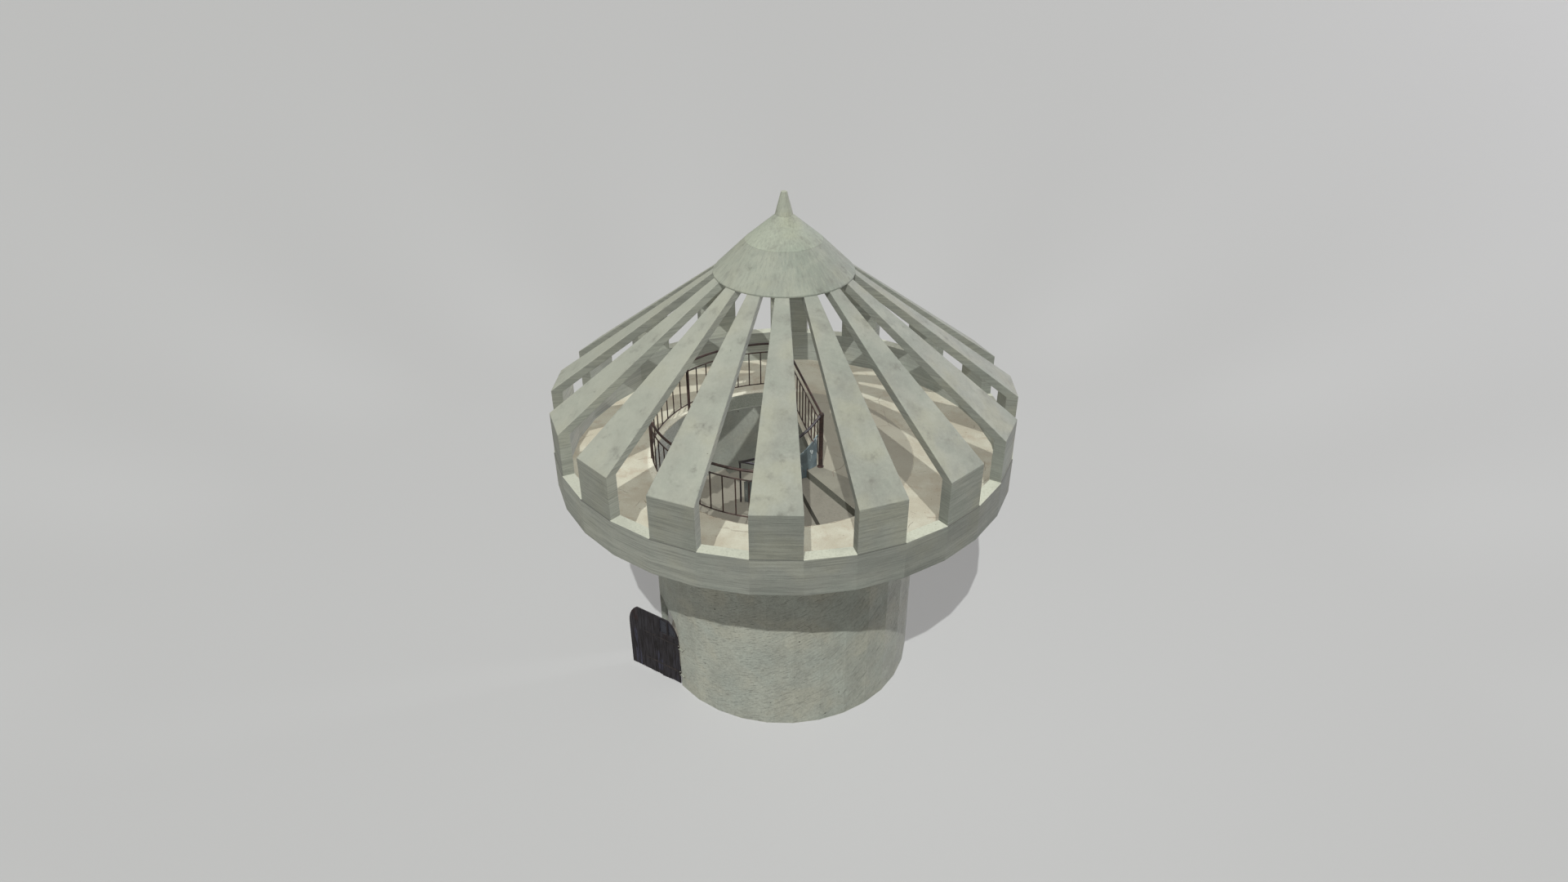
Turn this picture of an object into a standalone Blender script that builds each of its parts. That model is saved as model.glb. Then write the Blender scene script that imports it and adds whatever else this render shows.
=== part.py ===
"""Lookout water tower: a round drum with an arched door, a wide gallery and sixteen sloping ribs.

Metres, +Z up. The origin is on the ground at the middle of the drum. Azimuths are in degrees from
+X, counterclockwise seen from above, and the front of the tower is at -90.
"""

import math

import bmesh
import bpy
from mathutils import Matrix, Vector

GAP = 0.0003  # between solids that touch

# The round work is cast in flat facets.
SIDES = 32
FACET = 360 / SIDES
FIRST_CORNER = -97.2  # azimuth of the corner left of the front rib

# Drum
DRUM_RADIUS = 3.035
DRUM_BORE = 2.88
DRUM_TOP = 5.0
FLOOR_TOP = 0.06

# Gallery deck and parapet
DECK_TOP = 5.365
DECK_SEAT = 5.34  # top of the slab under the parapet
DECK_RIM = 4.80
DECK_RIM_DEPTH = 0.10
HAUNCH_RADIUS = 3.3
STAIRWELL_RADIUS = 2.90
PARAPET_RADIUS = 5.0
PARAPET_THICKNESS = 0.26
SILL_TOP = 6.15

# Roof ribs and cap
RIB_COUNT = 16
EAVE_RADIUS = 4.982
EAVE_TOP = 7.10
RIB_SLOPE = 0.726
RIB_DEPTH = 0.21
RIB_END = 0.90
CROWN_RING_BORE = 0.55
LIP_RADIUS = 1.45
LIP_HEIGHT = 0.035
CAP_REST = 1.12  # how far in the cap lies on the ribs
CAP_THICKNESS = 0.10
BREAK_RADIUS = 0.785
BREAK_TOP = 10.345
FINIAL_BASE_RADIUS = 0.185
FINIAL_BASE = 10.84
FINIAL_TIP_RADIUS = 0.06
FINIAL_TOP = 11.30

# Spiral stair, descending clockwise from the landing
RISERS = 29
TREAD_ANGLE = 16.4
TREADS_PER_FLIGHT = 7
FIRST_RISER = -57.5
TREAD_DEPTH = 0.22
STRING_RADIUS = 0.925
STRING_THICKNESS = 0.025
STRING_ABOVE = 0.55
STRING_BELOW = 0.30
STRING_LENGTHS = (16, 14, 14, 14)  # flat lengths in each piece of the plate, two for a tread
STAIR_RAIL_RADIUS = 1.0
STAIR_RAIL_ABOVE = 1.09
STAIR_POST_RADIUS = 0.02
TREADS_PER_POST = 4
STAIR_RAIL_PIECES = 2

# Landing and railings
LANDING_START = -38.0
LANDING_END = 90.5
RAILING_RADIUS = 2.94
HANDRAIL_HEIGHT = 1.31
SECOND_RAIL_HEIGHT = 1.085
BOTTOM_RAIL_HEIGHT = 0.22
HANDRAIL_THICKNESS = 0.056
RAIL_THICKNESS = 0.030
BALUSTER_THICKNESS = 0.028
NEWEL_THICKNESS = 0.07
STAIR_NEWEL_THICKNESS = 0.10
STAIR_NEWEL = (0.80, -0.62)
RAILING_NEWELS = (90.0, 141.0, 185.0, 229.0, 262.0)
BALUSTER_PITCH = 0.29

# Doorway and door
DOOR_AZIMUTH = -156.7
DOORWAY_WIDTH = 1.476
DOORWAY_SPRINGING = 1.30
DOORWAY_RISE = 0.70
ARCH_FULLNESS = 2.2  # 2 would be an ellipse
LEAF_EDGE_CLEARANCE = 0.012
LEAF_BOTTOM = 0.02
LEAF_SPRINGING = 1.285
LEAF_TOP = 1.845
LEAF_THICKNESS = 0.055
LEAF_OPEN = 34.0
PIN_OUT = 2.975  # distance of the hinge pin from the tower's axis, along the door's azimuth
PIN_ALONG = -0.755
PIN_RADIUS = 0.012
KNUCKLE_RADIUS = 0.022
KNUCKLE_BORE = 0.013
KNUCKLE_HEIGHT = 0.06
STRAP_LENGTH = 1.05
STRAP_HEIGHT = 0.05
STRAP_THICKNESS = 0.008
HINGE_HEIGHTS = {"bottom": 0.42, "top": 1.22}
PINTLE_BAR = 0.02
PINTLE_BAR_LENGTH = 0.14
PINTLE_GAP = 0.005
LIGHT_BOTTOM = 1.385
LIGHT_FRAME = 0.035
LIGHTS = ((0.085, 0.315), (0.335, 0.565))  # from the hinge pin along the leaf
PANE_THICKNESS = 0.006

PLASTER = ((0.30, 0.31, 0.27), 0.92, 0.0)
CONCRETE = ((0.33, 0.34, 0.30), 0.88, 0.0)
FLOOR = ((0.45, 0.42, 0.34), 0.85, 0.0)
RUSTY_IRON = ((0.06, 0.03, 0.022), 0.7, 0.5)
BLUE_PLATE = ((0.14, 0.18, 0.19), 0.45, 0.3)
OLD_BOARDS = ((0.03, 0.027, 0.027), 0.8, 0.0)
DIM_GLASS = ((0.05, 0.055, 0.065), 0.25, 0.0)

parts = bpy.data.collections.new("water_tower")
cutters = bpy.data.collections.new("cutters")


def clear_scene():
    for obj in list(bpy.data.objects):
        bpy.data.objects.remove(obj, do_unlink=True)
    bpy.context.scene.collection.children.link(parts)
    bpy.context.scene.collection.children.link(cutters)


def paint(obj, finish):
    """Gives the piece a material of its own."""
    colour, roughness, metallic = finish
    material = bpy.data.materials.new(obj.name)
    material.use_nodes = True
    shader = material.node_tree.nodes["Principled BSDF"]
    shader.inputs["Base Color"].default_value = (*colour, 1)
    shader.inputs["Roughness"].default_value = roughness
    shader.inputs["Metallic"].default_value = metallic
    obj.data.materials.clear()
    obj.data.materials.append(material)


def mesh_object(name, bm, collection=parts):
    mesh = bpy.data.meshes.new(name)
    bm.to_mesh(mesh)
    bm.free()
    obj = bpy.data.objects.new(name, mesh)
    collection.objects.link(obj)
    return obj


def helper(name, bm):
    """A cutter or a loose length, which is no piece of the tower by itself."""
    obj = mesh_object(name, bm, cutters)
    obj.hide_render = True
    obj.display_type = "WIRE"
    return obj


def polar(radius, azimuth, height=0.0):
    angle = math.radians(azimuth)
    return Vector((radius * math.cos(angle), radius * math.sin(angle), height))


def swept(outline, start, angle, steps, drop=0.0):
    """Turns an outline of (radius, height) points about the tower's axis into a closed block."""
    bm = bmesh.new()
    face = bm.faces.new([bm.verts.new(polar(radius, start, height)) for radius, height in outline])
    bmesh.ops.spin(
        bm,
        geom=[*face.verts, *face.edges, face],
        cent=(0, 0, 0),
        axis=(0, 0, 1),
        dvec=(0, 0, -drop / steps),
        angle=math.radians(angle),
        steps=steps,
        use_duplicate=False,
    )
    bmesh.ops.recalc_face_normals(bm, faces=bm.faces)
    return bm


def facet_block(outline, first, count):
    """A block over whole facets, counted from the corner left of the front rib."""
    trim = math.degrees(GAP / 2 / outline[0][0])
    return swept(outline, FIRST_CORNER + first * FACET + trim, count * FACET - 2 * trim, count)


def trim(bm, point, normal):
    """Cuts away what lies beyond a plane and closes the cut."""
    geom = bm.verts[:] + bm.edges[:] + bm.faces[:]
    cut = bmesh.ops.bisect_plane(bm, geom=geom, plane_co=point, plane_no=normal, clear_outer=True)
    edges = [item for item in cut["geom_cut"] if isinstance(item, bmesh.types.BMEdge)]
    bmesh.ops.edgeloop_fill(bm, edges=edges)
    bmesh.ops.recalc_face_normals(bm, faces=bm.faces)


def prism(name, radius, bottom, top):
    """A many-sided block that fits inside the round work, as a cutter."""
    bm = bmesh.new()
    bmesh.ops.create_cone(
        bm,
        cap_ends=True,
        segments=SIDES,
        radius1=radius,
        radius2=radius,
        depth=top - bottom,
        matrix=Matrix.Translation((0, 0, (top + bottom) / 2))
        @ Matrix.Rotation(math.radians(FIRST_CORNER + 90), 4, "Z"),
    )
    return helper(name, bm)


def boolean(obj, other, operation):
    modifier = obj.modifiers.new(operation.lower(), "BOOLEAN")
    modifier.operation = operation
    modifier.object = other


def settled(obj):
    """Replaces an object's mesh by the one that its modifiers make."""
    graph = bpy.context.evaluated_depsgraph_get()
    mesh = bpy.data.meshes.new_from_object(obj.evaluated_get(graph))
    obj.modifiers.clear()
    obj.data = mesh


def weld(name, lengths, finish):
    """Joins overlapping lengths into one piece."""
    group = bpy.data.collections.new(name + "_lengths")
    bpy.context.scene.collection.children.link(group)
    body = lengths[0]
    for length in lengths[1:]:
        cutters.objects.unlink(length)
        group.objects.link(length)
    modifier = body.modifiers.new("weld", "BOOLEAN")
    modifier.operation = "UNION"
    modifier.operand_type = "COLLECTION"
    modifier.collection = group
    settled(body)
    for length in lengths[1:]:
        bpy.data.objects.remove(length, do_unlink=True)
    bpy.data.collections.remove(group)
    cutters.objects.unlink(body)
    parts.objects.link(body)
    body.name = name
    body.data.name = name
    body.hide_render = False
    body.display_type = "TEXTURED"
    paint(body, finish)
    return body


def bar(start, end, thickness, sides=6):
    """A straight round bar."""
    start, end = Vector(start), Vector(end)
    bm = bmesh.new()
    turn = (end - start).to_track_quat("Z", "Y").to_matrix().to_4x4()
    bmesh.ops.create_cone(
        bm,
        cap_ends=True,
        segments=sides,
        radius1=thickness / 2,
        radius2=thickness / 2,
        depth=(end - start).length,
        matrix=Matrix.Translation((start + end) / 2) @ turn,
    )
    return helper("bar", bm)


def block(low, high, matrix=None):
    """A rectangular block between two corners."""
    low, high = Vector(low), Vector(high)
    bm = bmesh.new()
    size = Matrix.Diagonal((*(high - low), 1))
    bmesh.ops.create_cube(bm, size=1, matrix=Matrix.Translation((low + high) / 2) @ size)
    if matrix:
        bmesh.ops.transform(bm, matrix=matrix, verts=bm.verts)
    return bm


def tube(points, thickness, resolution=1):
    """A round rail along points, closed at both ends."""
    curve = bpy.data.curves.new("rail", "CURVE")
    curve.dimensions = "3D"
    curve.bevel_depth = thickness / 2
    curve.bevel_resolution = resolution
    curve.use_fill_caps = True
    spline = curve.splines.new("POLY")
    spline.points.add(len(points) - 1)
    for place, point in zip(spline.points, points):
        place.co = (*point, 1)
    guide = bpy.data.objects.new("rail", curve)
    cutters.objects.link(guide)
    bpy.context.view_layer.update()
    graph = bpy.context.evaluated_depsgraph_get()
    mesh = bpy.data.meshes.new_from_object(guide.evaluated_get(graph))
    bm = bmesh.new()
    bm.from_mesh(mesh)
    bmesh.ops.remove_doubles(bm, verts=bm.verts, dist=0.0001)
    bmesh.ops.recalc_face_normals(bm, faces=bm.faces)
    bpy.data.objects.remove(guide, do_unlink=True)
    bpy.data.meshes.remove(mesh)
    return helper("rail", bm)


def door_frame():
    """X along the doorway from the hinge jamb, Y straight out, with its origin on the tower's axis."""
    return Matrix.Rotation(math.radians(DOOR_AZIMUTH - 90), 4, "Z")


def arch_height(x, half_width, springing, rise):
    """Height of a full arch over a point, measured from the middle of the opening."""
    share = min(abs(x) / half_width, 1) ** ARCH_FULLNESS
    return springing + rise * (1 - share) ** (1 / ARCH_FULLNESS)


def arch_outline(half_width, bottom, springing, rise, flat_top=math.inf):
    """Points (x, height) round an arched opening or leaf, whose crown may be cut off level."""
    outline = [(-half_width, bottom), (half_width, bottom)]
    steps = 18
    for step in range(steps + 1):
        x = half_width * math.cos(math.pi * step / steps)
        outline.append((x, min(arch_height(x, half_width, springing, rise), flat_top)))
    return outline


def upright_plate(outline, near, far):
    """A plate whose outline of (x, height) points runs from near to far along Y."""
    bm = bmesh.new()
    face = bm.faces.new([bm.verts.new((x, near, height)) for x, height in outline])
    extruded = bmesh.ops.extrude_face_region(bm, geom=[face])
    moved = [item for item in extruded["geom"] if isinstance(item, bmesh.types.BMVert)]
    bmesh.ops.translate(bm, verts=moved, vec=(0, far - near, 0))
    bmesh.ops.recalc_face_normals(bm, faces=bm.faces)
    return bm


def drum():
    """The floor slab and the round wall, in blocks beside and over the doorway."""
    floor = prism("drum_floor", DRUM_BORE - GAP, 0, FLOOR_TOP)
    cutters.objects.unlink(floor)
    parts.objects.link(floor)
    floor.hide_render = False
    floor.display_type = "TEXTURED"
    paint(floor, FLOOR)

    outline = [(DRUM_RADIUS, 0), (DRUM_RADIUS, DRUM_TOP - GAP), (DRUM_BORE, DRUM_TOP - GAP), (DRUM_BORE, 0)]
    frame = door_frame()
    along = frame.to_3x3() @ Vector((1, 0, 0))
    near_jamb = -along * DOORWAY_WIDTH / 2
    far_jamb = along * DOORWAY_WIDTH / 2
    walls = {
        "drum_wall_front": (-5, 7),
        "drum_wall_front_right": (2, 6),
        "drum_wall_right": (8, 6),
        "drum_wall_back": (14, 6),
        "drum_wall_left": (20, 6),
        "drum_wall_over_door": (-7, 3),
    }
    for name, (first, count) in walls.items():
        bm = facet_block(outline, first, count)
        if name == "drum_wall_front":
            trim(bm, near_jamb, along)
        if name == "drum_wall_left":
            trim(bm, far_jamb, -along)
        if name == "drum_wall_over_door":
            trim(bm, far_jamb - along * GAP, along)
            trim(bm, near_jamb + along * GAP, -along)
        wall = mesh_object(name, bm)
        paint(wall, PLASTER)
        if name == "drum_wall_over_door":
            opening = arch_outline(DOORWAY_WIDTH / 2 + 2 * GAP, -1, DOORWAY_SPRINGING, DOORWAY_RISE)
            bm = upright_plate(opening, DRUM_BORE - 0.5, DRUM_RADIUS + 0.5)
            bmesh.ops.transform(bm, matrix=frame, verts=bm.verts)
            boolean(wall, helper("doorway", bm), "DIFFERENCE")


def gallery():
    """The cantilevered deck and the parapet ring that stands on its rim, each in two halves."""
    inner_face = PARAPET_RADIUS - PARAPET_THICKNESS
    deck = [
        (STAIRWELL_RADIUS, DRUM_TOP),
        (HAUNCH_RADIUS, DRUM_TOP),
        (DECK_RIM, DECK_SEAT - DECK_RIM_DEPTH),
        (DECK_RIM, DECK_SEAT - GAP),
        (inner_face - GAP, DECK_SEAT - GAP),
        (inner_face - GAP, DECK_TOP),
        (STAIRWELL_RADIUS, DECK_TOP),
    ]
    parapet = [
        (inner_face, DECK_SEAT),
        (PARAPET_RADIUS, DECK_SEAT),
        (PARAPET_RADIUS, SILL_TOP),
        (inner_face, SILL_TOP),
    ]
    half = SIDES // 2
    for side, first in (("right", 0), ("left", half)):
        paint(mesh_object("deck_slab_" + side, facet_block(deck, first, half)), FLOOR)
        paint(mesh_object("parapet_" + side, facet_block(parapet, first, half)), CONCRETE)


def rib_top(radius):
    return EAVE_TOP + (EAVE_RADIUS - radius) * RIB_SLOPE


def roof():
    """Sixteen posts that bend into ribs, the crown ring that they lean on, and the cap over them."""
    post_inner = PARAPET_RADIUS - PARAPET_THICKNESS
    rib = [
        (EAVE_RADIUS, SILL_TOP + GAP),
        (EAVE_RADIUS, EAVE_TOP),
        (RIB_END, rib_top(RIB_END)),
        (RIB_END, rib_top(RIB_END) - RIB_DEPTH),
        (post_inner, rib_top(post_inner) - RIB_DEPTH),
        (post_inner, SILL_TOP + GAP),
    ]
    bm = swept(rib, 0, FACET, 1)
    for number in range(RIB_COUNT):
        obj = mesh_object(f"rib_{number + 1:02d}", bm.copy())
        obj.rotation_euler.z = math.radians(FIRST_CORNER + number * 360 / RIB_COUNT)
        paint(obj, CONCRETE)
    bm.free()

    ring_top = rib_top(RIB_END)
    rings = {
        "crown_ring": [
            (CROWN_RING_BORE, ring_top - RIB_DEPTH),
            (RIB_END - GAP, ring_top - RIB_DEPTH),
            (RIB_END - GAP, ring_top),
            (CROWN_RING_BORE, ring_top),
        ],
        "cap_skirt": [
            (LIP_RADIUS, rib_top(LIP_RADIUS) + GAP),
            (LIP_RADIUS, rib_top(LIP_RADIUS) + LIP_HEIGHT),
            (BREAK_RADIUS, BREAK_TOP),
            (BREAK_RADIUS, BREAK_TOP - CAP_THICKNESS),
            (CAP_REST, rib_top(CAP_REST) + GAP),
        ],
    }
    for name, outline in rings.items():
        paint(mesh_object(name, turned(outline)), CONCRETE)
    crown = [
        (0, FINIAL_BASE - CAP_THICKNESS),
        (FINIAL_BASE_RADIUS, FINIAL_BASE - CAP_THICKNESS),
        (BREAK_RADIUS - GAP, BREAK_TOP - CAP_THICKNESS),
        (BREAK_RADIUS - GAP, BREAK_TOP),
        (FINIAL_BASE_RADIUS, FINIAL_BASE),
        (0, FINIAL_BASE),
    ]
    paint(mesh_object("cap_crown", turned(crown)), CONCRETE)
    bm = bmesh.new()
    bmesh.ops.create_cone(
        bm,
        cap_ends=True,
        segments=SIDES,
        radius1=FINIAL_BASE_RADIUS,
        radius2=FINIAL_TIP_RADIUS,
        depth=FINIAL_TOP - FINIAL_BASE - GAP,
        matrix=Matrix.Translation((0, 0, (FINIAL_TOP + FINIAL_BASE + GAP) / 2)),
    )
    finial = mesh_object("finial", bm)
    finial.data.shade_smooth()
    paint(finial, CONCRETE)


def turned(outline):
    """An outline of (radius, height) points turned all the way round, with its corners on the facets."""
    bm = bmesh.new()
    verts = [bm.verts.new(polar(radius, FIRST_CORNER, height)) for radius, height in outline]
    edges = [bm.edges.new(pair) for pair in zip(verts, verts[1:] + verts[:1])]
    if outline[0][0] == 0:
        bm.edges.remove(edges[-1])
        edges.pop()
    bmesh.ops.spin(
        bm,
        geom=verts + edges,
        cent=(0, 0, 0),
        axis=(0, 0, 1),
        angle=math.tau,
        steps=SIDES,
        use_duplicate=False,
    )
    bmesh.ops.remove_doubles(bm, verts=bm.verts, dist=0.0001)
    bmesh.ops.recalc_face_normals(bm, faces=bm.faces)
    return bm


def rise():
    return (DECK_TOP - FLOOR_TOP) / RISERS


def nosing(azimuth):
    """Height of the line over the tread edges, falling clockwise from the landing's edge."""
    return DECK_TOP - (FIRST_RISER - azimuth) / TREAD_ANGLE * rise()


def outside_string(chord):
    """Radius at which flat lengths, each over this many degrees, just clear the string plate."""
    return STRING_RADIUS / math.cos(math.radians(chord / 2)) + GAP


def stair():
    """Wedge steps in four flights, the curved plate at their inner ends, and its handrail."""
    bore = prism("stair_bore", DRUM_BORE - GAP, -1, DECK_TOP + 1)
    treads = RISERS - 1
    inner_end = outside_string(TREAD_ANGLE / 2)
    for flight in range(treads // TREADS_PER_FLIGHT):
        steps = []
        for place in range(TREADS_PER_FLIGHT):
            number = flight * TREADS_PER_FLIGHT + place + 1
            top = DECK_TOP - number * rise()
            bottom = max(top - TREAD_DEPTH, FLOOR_TOP + GAP)
            outline = [(inner_end, bottom), (DRUM_RADIUS, bottom), (DRUM_RADIUS, top), (inner_end, top)]
            under = 0.3 if place else -0.01
            start = FIRST_RISER - (number - 1) * TREAD_ANGLE + under
            steps.append(helper("step", swept(outline, start, -TREAD_ANGLE - under, 2)))
        body = weld(f"stair_flight_{flight + 1}", steps, FLOOR)
        boolean(body, bore, "INTERSECT")

    lowest = FIRST_RISER - treads * TREAD_ANGLE
    string_plates(lowest)
    stair_handrails(lowest)


def string_plates(lowest):
    """The curved plate round the stair's open eye, falling with the stair."""
    inner = STRING_RADIUS - STRING_THICKNESS
    length = (LANDING_START - lowest) / sum(STRING_LENGTHS)
    joint = math.degrees(GAP / STRING_RADIUS)
    start = LANDING_START
    for number, count in enumerate(STRING_LENGTHS):
        high = nosing(start)
        outline = [
            (inner, high - STRING_BELOW),
            (STRING_RADIUS, high - STRING_BELOW),
            (STRING_RADIUS, high + STRING_ABOVE),
            (inner, high + STRING_ABOVE),
        ]
        turn = count * length - joint
        bm = swept(outline, start, -turn, count, high - nosing(start - turn))
        plate = mesh_object(f"stair_string_{number + 1}", bm)
        paint(plate, BLUE_PLATE)
        start -= count * length
    below = block((-1, -1, -1), (1, 1, FLOOR_TOP + GAP))
    boolean(plate, helper("ground_cut", below), "DIFFERENCE")


def stair_handrails(lowest):
    """The rail over the plate, in lengths that stand on posts of their own."""
    newel_at = Vector(STAIR_NEWEL)
    pitch = math.atan2(rise(), STAIR_RAIL_RADIUS * math.radians(TREAD_ANGLE))
    lean = HANDRAIL_THICKNESS / 2 * math.sin(pitch)
    clear = math.degrees((STAIR_NEWEL_THICKNESS / 2 + lean + GAP) / STAIR_RAIL_RADIUS)
    start = math.degrees(math.atan2(newel_at.y, newel_at.x)) - clear
    count = sum(STRING_LENGTHS)
    line = []
    for step in range(count + 1):
        azimuth = start + (lowest - start) * step / count
        line.append(polar(STAIR_RAIL_RADIUS, azimuth, nosing(azimuth) + STAIR_RAIL_ABOVE))
    share = GAP / (line[1] - line[0]).length
    each = count // STAIR_RAIL_PIECES
    for piece in range(STAIR_RAIL_PIECES):
        first, last = piece * each, (piece + 1) * each
        points = line[first + 1 : last + 1]
        if piece:
            points.insert(0, line[first].lerp(line[first + 1], 0.5 + share))
        else:
            points.insert(0, line[0])
        if last < count:
            points.append(line[last].lerp(line[last + 1], 0.5 - share))
        lengths = [tube(points, HANDRAIL_THICKNESS, 2)]
        for number in range(TREADS_PER_POST, RISERS, TREADS_PER_POST):
            azimuth = FIRST_RISER - (number - 0.5) * TREAD_ANGLE
            if piece == int((azimuth - start) / (lowest - start) * STAIR_RAIL_PIECES):
                foot = polar(STAIR_RAIL_RADIUS, azimuth, DECK_TOP - number * rise() + GAP)
                head = polar(STAIR_RAIL_RADIUS, azimuth, nosing(azimuth) + STAIR_RAIL_ABOVE)
                lengths.append(bar(foot, head, 2 * STAIR_POST_RADIUS))
        weld(f"stair_handrail_{piece + 1}", lengths, RUSTY_IRON)


def landing():
    """The part of the deck that closes the right side of the stairwell."""
    reach = STAIRWELL_RADIUS + 0.2
    steps = 40
    bm = bmesh.new()
    lengths = 3
    chord = (FIRST_RISER - LANDING_START) / lengths
    inner = outside_string(chord)
    outline = [polar(inner, LANDING_START + step * chord) for step in range(lengths + 1)]
    for step in range(steps + 1):
        azimuth = FIRST_RISER + (LANDING_END - FIRST_RISER) * step / steps
        outline.append(polar(reach, azimuth))
    verts = [bm.verts.new((point.x, point.y, DECK_TOP - TREAD_DEPTH)) for point in outline]
    face = bm.faces.new(verts)
    extruded = bmesh.ops.extrude_face_region(bm, geom=[face])
    moved = [item for item in extruded["geom"] if isinstance(item, bmesh.types.BMVert)]
    bmesh.ops.translate(bm, verts=moved, vec=(0, 0, TREAD_DEPTH))
    bmesh.ops.recalc_face_normals(bm, faces=bm.faces)
    slab = mesh_object("landing", bm)
    paint(slab, FLOOR)
    boolean(slab, prism("landing_bore", STAIRWELL_RADIUS - GAP, 0, DECK_TOP + 1), "INTERSECT")


def rails_over(points):
    """Handrail, second rail and bottom rail over a line of points on the deck."""
    heights = (
        (HANDRAIL_HEIGHT, HANDRAIL_THICKNESS, 2),
        (SECOND_RAIL_HEIGHT, RAIL_THICKNESS, 1),
        (BOTTOM_RAIL_HEIGHT, RAIL_THICKNESS, 1),
    )
    return [
        tube([point + Vector((0, 0, DECK_TOP + height)) for point in points], thickness, resolution)
        for height, thickness, resolution in heights
    ]


def baluster(point):
    low = point + Vector((0, 0, DECK_TOP + BOTTOM_RAIL_HEIGHT))
    high = point + Vector((0, 0, DECK_TOP + SECOND_RAIL_HEIGHT))
    return bar(low, high, BALUSTER_THICKNESS)


def newel(point, thickness, sides=8):
    low = point + Vector((0, 0, DECK_TOP + GAP))
    high = point + Vector((0, 0, DECK_TOP + HANDRAIL_HEIGHT + HANDRAIL_THICKNESS / 2 + 0.01))
    return bar(low, high, thickness, sides)


def railings():
    """Four curved panels round the stairwell and a straight one along the landing's edge."""
    inset = math.degrees((NEWEL_THICKNESS / 2 + GAP) / RAILING_RADIUS)
    for number, (start, end) in enumerate(zip(RAILING_NEWELS, RAILING_NEWELS[1:])):
        count = round(math.radians(end - start) * RAILING_RADIUS / BALUSTER_PITCH)
        last = number == len(RAILING_NEWELS) - 2
        stop = end if last else end - inset
        places = [start + (end - start) * step / count for step in range(count)] + [stop]
        points = [polar(RAILING_RADIUS, azimuth) for azimuth in places]
        lengths = [newel(points[0], NEWEL_THICKNESS)] + rails_over(points)
        lengths += [baluster(point) for point in points[1:-1]]
        if last:
            lengths.append(newel(points[-1], NEWEL_THICKNESS))
        weld(f"stairwell_railing_{number + 1}", lengths, RUSTY_IRON)

    start = Vector((*STAIR_NEWEL, 0))
    end = polar(RAILING_RADIUS, RAILING_NEWELS[0])
    along = (end - start).normalized()
    end -= along * (NEWEL_THICKNESS / 2 + GAP)
    count = round((end - start).length / BALUSTER_PITCH)
    points = [start.lerp(end, step / count) for step in range(count + 1)]
    lengths = [newel(start, STAIR_NEWEL_THICKNESS)] + rails_over([start, end])
    lengths += [baluster(point) for point in points[1:-1]]
    weld("landing_railing", lengths, RUSTY_IRON)


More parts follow.
